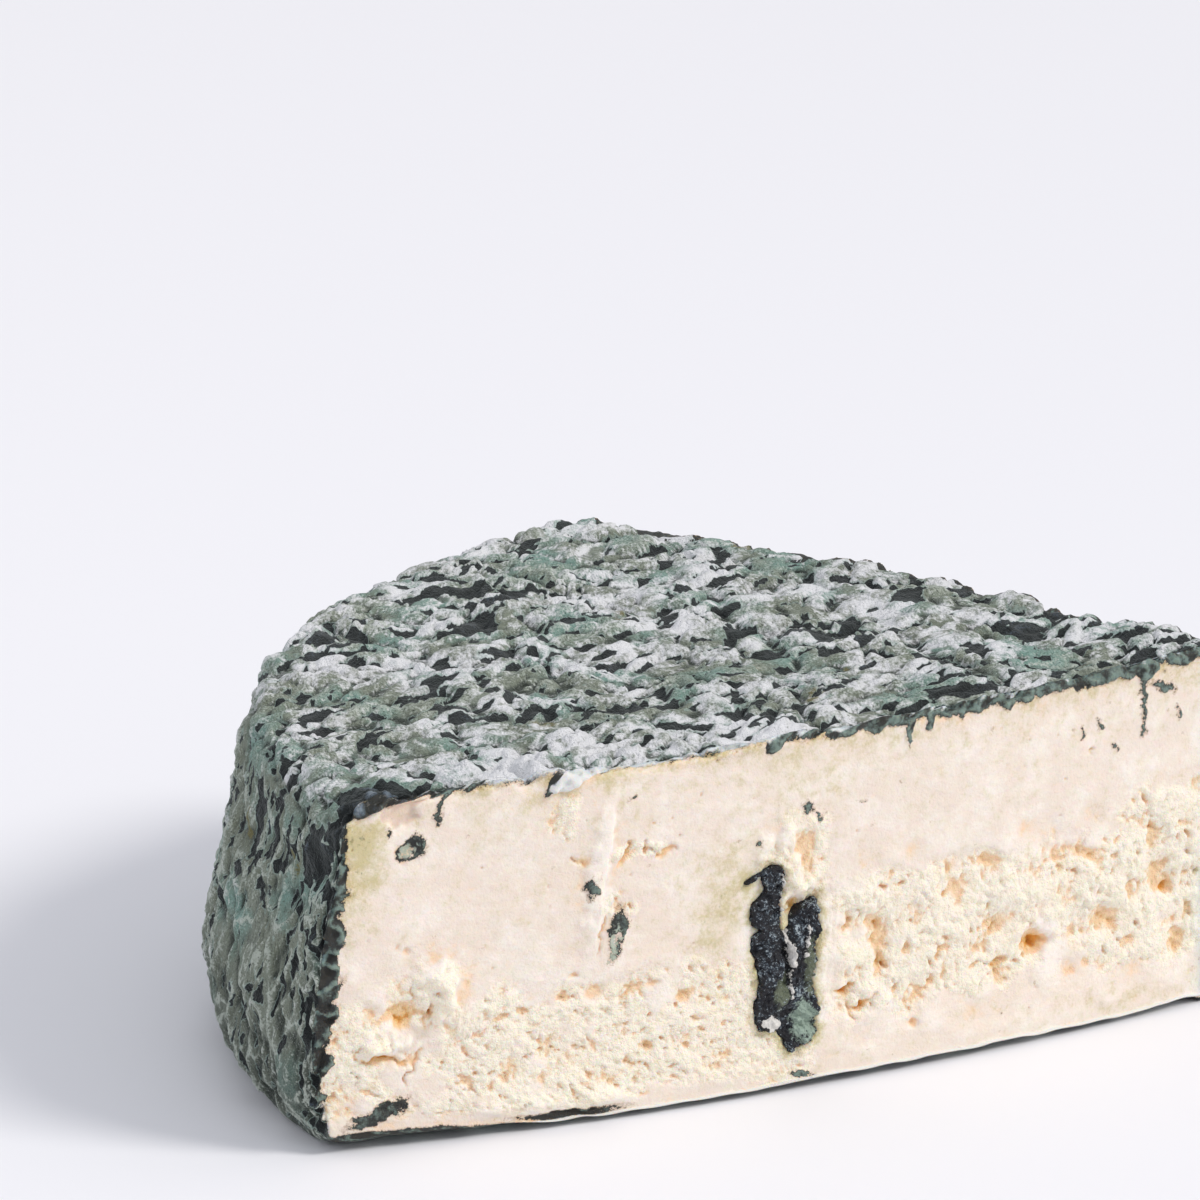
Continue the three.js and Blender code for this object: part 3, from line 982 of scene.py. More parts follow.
@dataclass(frozen=True)
class MouldRindFinish:
    """Natural mould rind: a dry, velvety felt of grey-green mould, grown in a damp cellar.

    It scatters light off fine hairs, so it has no shine and a pale edge. Where the felt is rubbed off,
    the old rind is nearly black and a little smoother. White bloom lies on what faces up. Its creases
    are painted darker, a painted shade, and its crests are partly paler, a painted highlight; the black
    patches and the beads at the front corner carry painted glints.
    """

    felt: str = "#838b7d"
    inner: str = "#656a55"
    hollow: str = "#343a33"
    crest: str = "#bfc7bc"
    teal: str = "#78a39a"
    bare: str = "#0d0f13"
    glint: str = "#56636f"
    bead: str = "#86929b"
    bare_edge: str = "#a9c0b8"
    ochre: str = "#6f683c"
    bloom: str = "#e6e7e9"
    sheen: str = "#c9d2cf"

    def make(self) -> bpy.types.Material:
        """Makes the material."""
        paint = Palette("natural_mould_rind", self.felt)
        fine, speck = paint.noise(0.45, 4.0), paint.noise(0.3, 2.0)
        crest = paint.mark("crest")
        inner = paint.sums((paint.mark("inner"), 1.0), (fine, 0.4))
        paint.lay(self.inner, paint.rise(inner, 0.0, 1.3, 0.75))
        teal = paint.sums((paint.mark("teal"), 1.0), (fine, 0.3))
        paint.lay(self.teal, paint.rise(teal, -0.1, 0.9, 0.7))
        # Painted shade: the hollow colour lies in the creases, where the skin is lower than its blur. The
        # same colour also darkens the rim towards its foot and next to the long cut, and gives the dark
        # stipple below.
        hollow = paint.sums((paint.mark("hollow"), 1.0), (fine, 0.3))
        paint.lay(self.hollow, paint.rise(hollow, 0.0, 1.3, 0.95))
        # The crest colour: the skin's own pale ridge lines, and partly a painted highlight where the skin
        # stands higher than its blur. It also gives the pale stipple below.
        paint.lay(self.crest, paint.rise(paint.sums((crest, 1.0), (fine, 0.45)), 0.25, 1.0, 0.8))
        paint.lay(self.hollow, paint.rise(paint.sums((speck, -0.7), (fine, -0.7)), 0.1, 0.9, 0.75))
        paint.lay(self.crest, paint.rise(paint.sums((speck, 0.7), (fine, 0.7)), 0.2, 1.0, 0.55))
        ochre = paint.sums((paint.mark("ochre"), 1.0), (fine, 0.03))
        paint.lay(self.ochre, paint.rise(ochre, 0.0, 0.03, 0.85))
        bloom = paint.sums((paint.mark("bloom"), 1.0), (fine, 0.35), (paint.noise(1.5, 3.0), 0.4))
        paint.lay(self.bloom, paint.rise(bloom, 0.0, 1.1, 0.95))
        bare = paint.sums((paint.mark("bare"), 1.0), (paint.noise(0.9, 4.0), 0.07), (bloom, -0.05))
        paint.lay(self.bare_edge, paint.rise(bare, -0.1, -0.01, 0.45))
        black = paint.rise(bare, -0.01, 0.02, 0.96)
        paint.lay(self.bare, black)
        # Painted highlight: a glint on the black patches along the crests.
        lit = paint.rise(paint.sums((crest, 0.9), (fine, 0.7)), 0.55, 1.5, 0.7)
        paint.lay(self.glint, paint.times(black, lit))
        # Painted highlight: the beads at the front corner go from dark to light towards their tops.
        bead = paint.sums((paint.mark("bead"), 1.0), (fine, 0.3))
        paint.lay(self.glint, paint.rise(bead, 0.2, 0.7, 0.75))
        paint.lay(self.bead, paint.rise(bead, 0.55, 1.1, 0.85))
        return paint.finish(
            Roughness=paint.sums((black, -0.45), base=0.93),
            IOR=1.4,
            Specular_IOR_Level=0.25,
            Sheen_Weight=0.2,
            Sheen_Roughness=0.6,
            Sheen_Tint=linear(self.sheen),
            Normal=paint.relief((1.1, 0.12), (0.5, 0.12), (0.25, 0.03)),
        )


@dataclass(frozen=True)
class CurdPasteFinish:
    """Ripened curd paste: moist, fatty and pale ivory, cut with a knife and torn where it crumbles.

    Light goes a millimetre or two into it, so its hollows are painted peach and ochre, a warm painted
    shade instead of grey, and what stands up is painted paler, partly a painted highlight. The knife
    leaves a dull shine. The rind's edge round it is nearly black, and damp where it is balled up at the
    corner, where the beads carry a painted highlight; its ruffles are paler, partly a painted highlight.
    """

    paste: str = "#ecdfd1"
    light: str = "#f6efe5"
    curd: str = "#fff3e0"
    peach: str = "#f5d3ab"
    pit: str = "#f3d09c"
    deep: str = "#eeab48"
    green: str = "#c6ba84"
    green_dot: str = "#858259"
    pink: str = "#e3cbb6"
    rust: str = "#9a7442"
    rind: str = "#222828"
    rind_pale: str = "#7d9188"
    slate: str = "#56636f"
    bead: str = "#86929b"
    mark_pale: str = "#b4bfae"
    frost: str = "#dcdfdd"
    lip: str = "#dfdfda"

    def make(self) -> bpy.types.Material:
        """Makes the material."""
        paint = Palette("ripened_curd_paste", self.paste)
        fine, broad, speck = paint.noise(0.6, 4.0), paint.noise(6.0, 4.0), paint.noise(0.3, 3.0)
        high, dark, tint = paint.mark("high"), paint.mark("dark"), paint.mark("green")
        # Paler paste: partly its own mottling, partly a painted highlight where it stands higher than its
        # blur.
        paint.lay(self.light, paint.rise(paint.sums((broad, 0.6), (fine, 0.4), (high, 0.7)), -0.4, 0.8, 0.9))
        paint.lay(self.curd, paint.rise(paint.sums((paint.mark("torn"), 1.0), (fine, 0.2)), 0.1, 0.9, 0.85))
        # Painted shade: warm peach where the paste lies lower than its blur.
        low = paint.sums((paint.noise(2.2, 4.0), 0.35), (fine, 0.2), (high, -1.1))
        paint.lay(self.peach, paint.rise(low, 0.2, 1.2, 0.85))
        paint.lay(self.pink, paint.rise(paint.mark("pink"), 0.0, 1.0, 0.6))
        green = paint.sums((tint, 1.0), (fine, 0.45), (paint.noise(2.5, 4.0), 0.6))
        paint.lay(self.green, paint.rise(green, 0.0, 1.4, 0.8))
        dots = paint.sums((tint, 0.8), (paint.noise(0.8, 4.0), 0.9), (paint.noise(3.5, 2.0), 0.5))
        paint.lay(self.green_dot, paint.rise(dots, 1.1, 1.9, 0.7))
        # Painted shade: pale and deep ochre in the pits and hollows, a warm painted shade for the light that
        # goes into the paste.
        pit = paint.sums((paint.mark("pit"), 1.0), (fine, 0.12))
        paint.lay(self.pit, paint.rise(pit, 0.7, 1.9, 0.8))
        paint.lay(self.deep, paint.rise(pit, 1.6, 2.6, 0.9))
        rind = paint.sums((paint.mark("rind"), 1.0), (fine, 0.26), (speck, 0.12))
        paint.lay(self.rust, paint.rise(rind, -0.45, -0.1, 0.4))
        paint.lay(self.rind, paint.rise(rind, -0.05, 0.04, 0.97))
        # The rind's edge paler on its ruffles: partly its felt, partly a painted highlight where it stands
        # high.
        crests = paint.sums((paint.noise(1.2, 4.0), 0.6), (fine, 0.3), (high, 0.9), (dark, -0.9))
        inside = paint.rise(rind, 0.05, 0.3)
        paint.lay(self.rind_pale, paint.times(inside, paint.rise(crests, 0.0, 1.5, 0.9)))
        # Painted highlight: the beads at the corner go from slate to pale towards their tops.
        bead = paint.sums((paint.mark("bead"), 1.0), (fine, 0.3))
        paint.lay(self.slate, paint.rise(bead, 0.2, 0.7, 0.75))
        paint.lay(self.bead, paint.rise(bead, 0.55, 1.1, 0.85))
        paint.lay(self.lip, paint.rise(paint.sums((paint.mark("lip"), 1.0), (fine, 0.1)), 0.0, 0.15, 0.9))
        frost = paint.sums((paint.mark("frost"), 1.0), (fine, 0.35), (paint.noise(1.3, 4.0), 0.5))
        paint.lay(self.frost, paint.rise(frost, 0.0, 0.9, 0.95))
        curls = paint.noise(0.9, 3.0)
        # The whitish middles of the marks, a little paler where the paste stands high, a painted highlight.
        whitish = paint.sums((paint.mark("whitish"), 1.0), (fine, 0.45), (curls, 0.45), (high, 0.2))
        paint.lay(self.mark_pale, paint.rise(whitish, -0.15, 0.45, 0.9))
        uneven = paint.sums((paint.mark("torn"), 0.7), base=0.3)
        return paint.finish(
            Roughness=paint.sums((paint.rise(dark, 0.0, 1.0), -0.3), base=0.56),
            IOR=1.45,
            Specular_IOR_Level=0.35,
            Subsurface_Weight=0.5,
            Subsurface_Radius=(1.0, 0.6, 0.3),
            Subsurface_Scale=0.0018,
            Normal=paint.relief((1.0, 0.08), (0.5, 0.07), (0.25, 0.02), share=uneven),
        )


@dataclass(frozen=True)
class VeinCrustFinish:
    """Blue mould grown thick in an air channel: granular, moist and nearly black, with spore dust on it.

    Its wet grains glint, and slate and a pale frost lie on the young growth and more on the raised
    grains, there partly a painted highlight. The dust and moss are a matt grey-green.
    """

    crust: str = "#191a20"
    slate: str = "#445360"
    frost_and_highlight: str = "#b3c0c5"
    dust: str = "#9fb3a4"
    moss: str = "#6f7862"
    curd: str = "#efede7"

    def make(self) -> bpy.types.Material:
        """Makes the material."""
        paint = Palette("blue_vein_mould", self.crust)
        fine, grain, patch = paint.noise(0.35, 4.0), paint.noise(0.8, 4.0), paint.noise(3.0, 3.0)
        high = paint.mark("high")
        # Slate and the pale frost lie more on raised grains: partly the mould's own colour, partly a painted
        # highlight.
        slate = paint.sums((grain, 0.6), (fine, 0.5), (high, 0.6), (patch, 0.6))
        paint.lay(self.slate, paint.rise(slate, -0.1, 0.9, 0.95))
        paint.lay(self.moss, paint.rise(paint.sums((paint.mark("moss"), 1.0), (grain, 0.4)), 0.0, 0.6, 0.85))
        frost_and_highlight = paint.sums((grain, 0.8), (fine, 0.9), (high, 0.7), (patch, 0.5))
        paint.lay(self.frost_and_highlight, paint.rise(frost_and_highlight, 0.4, 1.1, 0.9))
        specks = paint.sums((paint.noise(0.5, 2.0), 1.0), (patch, 0.3))
        paint.lay(self.frost_and_highlight, paint.rise(specks, 0.6, 0.9, 0.85))
        dust = paint.sums((paint.mark("dust"), 1.0), (fine, 0.5), (grain, 0.6))
        paint.lay(self.dust, paint.rise(dust, 0.0, 0.7, 0.92))
        paint.lay(self.crust, paint.rise(paint.sums((paint.noise(0.6, 4.0), -1.0)), 0.6, 1.0, 0.7))
        curd = paint.sums((paint.mark("curd"), 1.0), (fine, 0.25))
        paint.lay(self.curd, paint.rise(curd, -0.05, 0.15, 0.9))
        return paint.finish(
            Roughness=0.5,
            IOR=1.45,
            Normal=paint.relief((0.7, 0.09), (0.35, 0.07), (0.16, 0.02)),
        )


@dataclass(frozen=True)
class StudioFloorFinish:
    """Matt white studio board: even, dull and hardly coloured."""

    board: str = "#f0f1f4"

    def make(self) -> bpy.types.Material:
        """Makes the material."""
        return Palette("matt_white_board", self.board).finish(Roughness=0.7, Specular_IOR_Level=0.2)


# ------------------------------------------------------------------------------------------------ rind
@dataclass
class MouldRind:
    """The rind on the rim, the top and the underside.

    Attributes:
        cell: the finest spacing of the points, in millimetres.
        pressed_cell: their spacing on the underside.
        felt: how thick the felt of mould is, which is missing from a bare patch.
        band: how far in from a cut the skin is drawn up into ruffles.
        bead_size: how far apart the beads at the front corner's top are.
        bead_reach: how far from the corner they reach.
    """

    cell: float = 0.43
    pressed_cell: float = 1.3
    felt: float = 0.45
    band: float = 4.6
    bead_size: float = 2.7
    bead_reach: float = 6.8

    def skin(self, p: Array, upward: Array, cut: Array) -> dict[str, Array]:
        """Works out the mould skin at points: over the shoulder the rim's skin fades into the top's.

        Args:
            p: points, in millimetres.
            upward: 0 on the rim to 1 on the top.
            cut: 0 to 1 next to a cut, where the skin has shrunk into ruffles.

        Returns:
            Arrays by name: height, bare, crest, inner, bead.
        """
        top = self.wrinkles(p, 1.0, cut)
        if np.all(upward == 1):
            return top
        side = self.wrinkles(p, 0.0, cut)
        return {name: mix(side[name], top[name], upward) for name in top}

    def wrinkles(self, p: Array, upward: float, cut: Array) -> dict[str, Array]:
        """Works out the skin of the rim or of the top: its height, and where it is bare, creased or ridged.

        The points are pushed about by noise 10 mm and 3.5 mm long. To the body's broad relief comes the
        size of noise 6.2 mm and 3.4 mm long on the rim, and 5.2 mm and 2.5 mm on the top. On the rim it
        is taken away, so that thin crests part smooth hollows. On the top it is added and rounded off,
        so that creases part flat pillows. Finer noise is the felt. Next to a cut the skin is drawn up
        into ruffles 2.5 mm apart, and at the front corner it is balled up into beads. Bare patches are
        where another noise, drawn out upright on the rim, passes a limit, and the skin is a felt's
        thickness lower there.

        Args:
            p: points, in millimetres.
            upward: 0 for the rim or 1 for the top.
            cut: 0 to 1 next to a cut.

        Returns:
            Arrays by name: height, bare, crest, inner, bead.
        """
        q = p * np.array([mix(1.0, 0.75, upward), 1.0, mix(0.66, 1.0, upward)])
        warp = FOLDS.push(q, 10.0, (3.3, 17.1, 31.7)) * 4.0
        warp = warp + FOLDS.push(q, 3.5, (41.3, 57.1, 71.7))
        first = np.abs(FOLDS.waves(q + warp, mix(6.2, 5.2, upward), 5.0))
        second = np.abs(FOLDS.waves(q + 0.7 * warp, mix(3.4, 2.5, upward), 15.0))
        third = np.abs(FOLDS.waves(q + 0.5 * warp, 2.1, 85.0))
        pucker = np.abs(FOLDS.waves(q + 0.6 * warp, 2.5, 35.0))
        if upward:
            crest = np.exp(-(((first - 0.15) / 0.09) ** 2))
            crest = np.maximum(crest, 0.8 * np.exp(-(((second - 0.1) / 0.08) ** 2)))
            folds = 1.05 * (smooth(0, 0.45, first) - 0.5)
            folds = folds + 0.4 * (smooth(0, 0.4, second) - 0.5) * (1 - 0.6 * cut)
            folds = folds + 0.5 * FOLDS.waves(q + warp, 9.0, 27.0)
        else:
            crest = np.maximum(np.exp(-((first / 0.06) ** 2)), 0.75 * np.exp(-((second / 0.06) ** 2)))
            crest = np.maximum(crest, 0.6 * np.exp(-((third / 0.06) ** 2)))
            folds = 1.25 * (0.25 - first) + 0.55 * (0.25 - second) * (1 - 0.6 * cut) + 0.25 * (0.25 - third)
            folds = folds + 0.12 * crest
        upright = p * np.array([mix(1.0, 0.6, upward), 1.0, mix(0.3, 1.0, upward)]) + 0.3 * warp
        patchy = FOLDS.waves(p, 21.0, 23.0)
        fringe = 0.12 * FOLDS.waves(p, 0.9, 19.0)
        slit = FOLDS.waves(upright, mix(1.5, 2.3, upward), 13.0) + fringe
        patch = FOLDS.waves(q + 0.9 * warp, 4.6, 53.0) + fringe
        bare = np.maximum(slit, patch - mix(0.22, 0.0, upward)) + 0.35 * patchy - mix(0.42, 0.28, upward)
        if upward:
            bare = bare + 0.5 * (0.15 - first)
        else:
            shoulder = smooth(34, 52, p[..., 2]) * (1 - 0.5 * smooth(53, 59, p[..., 2]))
            bare = bare + 0.3 * (first - 0.3) + 0.42 * shoulder
        bare = bare + cut * (0.2 + 1.2 * (pucker - 0.32))
        corner, bead = self.corner(p)
        bare = np.maximum(bare, 0.9 * corner - 0.35 + 0.25 * (0.5 - bead))
        height = (
            mix(0.9, 0.8, upward) * PLAN.rind_relief(p, upward)
            + folds
            + 1.9 * cut * (0.3 - pucker)
            + mix(0.34, 0.2, upward) * FOLDS.waves(q + 0.5 * warp, 1.7, 65.0)
            + mix(0.08, 0.04, upward) * FOLDS.waves(q, 0.8, 4.0)
            - self.felt * smooth(-0.02, 0.05, bare) * (1 - corner)
            + 2.8 * corner * (0.5 - bead)
        )
        crest = np.maximum(crest, 0.9 * cut * np.exp(-((pucker / 0.08) ** 2)))
        return {
            "height": height,
            "bare": bare,
            "crest": crest * (1 - corner),
            "inner": smooth(0.08, 0.3, first),
            # bead: how near a bead's top, which the finishes paint lighter, a painted highlight.
            "bead": corner * smooth(0.62, 0.12, bead),
        }

    def corner(self, p: Array) -> tuple[Array, Array]:
        """How near the front corner's top a point is, 0 to 1, and how far from the nearest bead, in beads."""
        at = PLAN.front(np.array(2.0 / PLAN.cut_length), np.array(0.955))
        near = np.exp(-((np.linalg.norm(p - at, axis=-1) / self.bead_reach) ** 4))
        bead, _ = FOLDS.grains(p, self.bead_size, 61.0)
        return near, bead

    def drawn_up(self, along: Array) -> Array:
        """Where the long cut's top edge has ruffles: over its first 14 mm, and half past 80 to 100 mm."""
        return np.maximum(1 - smooth(0, 14, along), 0.5 * smooth(80, 100, along))

    def marks(self, p: Array, skin: dict[str, Array], upward: Array, reach: int) -> dict[str, Array]:
        """Works out what the finish reads, from the height set against its own blur.

        Args:
            p: the sheet's points, before it is raised.
            skin: what skin() gave.
            upward: 0 on the rim to 1 on the top.
            reach: how many cells the blur reaches.

        Returns:
            The marks by name.
        """
        height = skin["height"]
        stand = (height - soften(height, reach)) / self.felt
        patchy = FOLDS.waves(p, 13.0, 29.0)
        cloud = FOLDS.waves(p, 3.6, 37.0)
        seat, _ = FOLDS.grains(p + 2.0 * FOLDS.waves(p, 3.0, 67.0)[..., None], 19.0, 43.0)
        near = glow(p[..., 0], p[..., 1], (-112, -12, 55, 45))
        on_top = -0.2 * near + 0.25 * stand + 0.95 * skin["crest"] + 1.0 * patchy + 0.5 * cloud - 0.1
        on_side = 0.2 * stand + 0.2 * skin["crest"] + 0.8 * patchy + 0.4 * cloud - 0.5
        foot = 0.75 * (1 - smooth(4, 34, p[..., 2])) * (1 - upward)
        corner, _ = self.corner(p)
        return {
            # hollow: painted shade where the skin lies lower than its blur, and darker towards the rim's
            # foot. crest: the pale ridge lines, and a painted highlight where the skin stands high.
            "hollow": np.clip(-stand, 0, 2) + foot,
            "crest": np.clip(0.3 * stand + (0.75 + 0.5 * cloud) * skin["crest"], 0, 2),
            "inner": skin["inner"] * (0.7 + 0.5 * cloud),
            "teal": np.clip(FOLDS.waves(p, 12.0, 47.0) + 0.4 * cloud + 0.2 * upward, -1, 1),
            "ochre": 0.12 - seat,
            "bead": skin["bead"],
            "bare": skin["bare"],
            "bloom": mix(on_side, on_top, upward) - 2.0 * corner,
        }

    def rim_sheet(self) -> Sheet:
        """The rim: angle by height, its columns closer together towards the long cut, which shows most."""
        body = PLAN
        run, rise = 178, 69  # about the rim's length and height
        share = np.linspace(0, 1, int(run / (self.cell * 1.15)))
        deg = mix(body.front_corner_deg, body.far_corner_deg, mix(share, share**2, 0.45))[:, None]
        up = body.even_rows((body.rim_profile,), int(rise / self.cell))[None, :]
        p = body.rim(deg, up)
        z = p[..., 2]
        upward = body.upward(p)
        along = np.radians(np.abs(deg - body.front_corner_deg)) * body.rim_radius
        far = np.radians(np.abs(deg - body.far_corner_deg)) * body.rim_radius
        below_top = body.rim(deg, np.array(1.0))[..., 2] - z
        out = lean(
            body.rim_out(deg, up),
            (close_to(along, body.rim_edge), body.front_out(np.array(0.0))),
            (close_to(far, body.rim_edge), body.tail_out(np.array(1.0))),
            (close_to(below_top, 0.9), UP),
        )
        edge = np.exp(-((along / self.band) ** 2)) + 0 * up
        skin = self.skin(p, upward, edge)
        sheet = Sheet(p, out, marks=self.marks(p, skin, upward, 5))
        sheet.marks["hollow"] += 0.55 * edge
        sheet.marks["bloom"] -= 0.4 * edge
        sheet.raise_by(skin["height"] * smooth(0, 5, z))
        sheet.points[..., 2] += body.lift(np.array(0.0), along, z)
        return sheet

    def lid_grid(self, up: float, cell: float) -> tuple[Array, Array, Array]:
        """The grid of the top or the underside, its rows closer together towards the long cut.

        Args:
            up: 1 for the top, 0 for the underside.
            cell: the spacing of the points.

        Returns:
            The points, their shares along the row, and their shares of the way to the far corner.
        """
        run, depth = 158, 150  # about the long cut's length, and how far the far corner is from it
        t = np.linspace(0, 1, int(depth / (cell * 1.45)))
        w, t = np.broadcast_arrays(np.linspace(0, 1, int(run / cell))[None, :], mix(t, t**2, 0.5)[:, None])
        return PLAN.lid(w, t, up), w, t

    def top_sheet(self) -> Sheet:
        """The top: pillows of skin under bloom, with a ruff of thicker bloom along part of the long cut."""
        body = PLAN
        p, w, t = self.lid_grid(1.0, self.cell)
        upward = np.ones_like(w)
        to_front = np.linalg.norm(p - body.lid(w, 0 * t, 1.0), axis=-1)
        to_back = np.linalg.norm(p - body.lid(upward, t, 1.0), axis=-1)
        to_rim = body.rim_radius + body.rim_profile[-1][0] - np.hypot(p[..., 0], p[..., 1])
        deg = np.degrees(np.arctan2(p[..., 1], p[..., 0])) % 360
        out = lean(
            UP,
            (close_to(to_front, body.top_edge), body.front_out(w)),
            (close_to(to_back, body.top_edge), body.tail_out(t)),
            (close_to(to_rim, body.rim_edge), body.rim_out(deg, np.array(1.0))),
        )
        along = w * body.cut_length
        edge = np.exp(-((to_front / self.band) ** 2)) * self.drawn_up(along)
        skin = self.skin(p, upward, edge)
        ruff = np.exp(-((to_front / mix(10.0, 6.0, smooth(40, 56, along))) ** 2))
        ruff = ruff * smooth(8, 20, along) * (1 - 0.55 * smooth(42, 58, along)) * (1 - smooth(76, 90, along))
        thin = np.abs(FOLDS.waves(p, 2.6, 81.0))
        sheet = Sheet(p, out, marks=self.marks(p, skin, upward, 5))
        sheet.marks["bloom"] += (1.15 - 0.9 * thin) * ruff - 0.5 * edge
        sheet.marks["bare"] = sheet.marks["bare"] - 0.4 * ruff
        sheet.marks["ochre"] = sheet.marks["ochre"] - ruff
        puff = np.abs(FOLDS.waves(p, 4.5, 73.0)) + 0.3 * np.abs(FOLDS.waves(p, 1.6, 77.0))
        puff = puff + 0.25 * FOLDS.waves(p, 0.9, 79.0)
        wisp = 1.3 * puff + 0.4 * FOLDS.waves(p, 1.3, 83.0)
        sheet.raise_by(skin["height"] + ruff * wisp * smooth(0, 1.2, to_front))
        return sheet

    def underside_sheet(self) -> Sheet:
        """The underside: the top's skin pressed flat, a thin crust whose edge shows under the long cut."""
        body = PLAN
        p, w, t = self.lid_grid(0.0, self.pressed_cell)
        upward = np.ones_like(w)
        skin = self.skin(p, upward, 0 * w)
        sheet = Sheet(p, np.broadcast_to(-UP, p.shape), marks=self.marks(p, skin, upward, 3))
        sheet.marks["bloom"] -= 0.45
        inside = np.minimum(t * 60, np.minimum(w, 1 - w) * 80)
        press = np.clip(skin["height"], -0.9, 0.9) - 0.9
        sheet.raise_by(0.5 * press * smooth(0, 6, inside))
        away = np.linalg.norm(p - body.lid(w, 0 * t, 0.0), axis=-1)
        sheet.points[..., 2] += body.lift(w * body.cut_length, away, 0.0 * away)
        return sheet


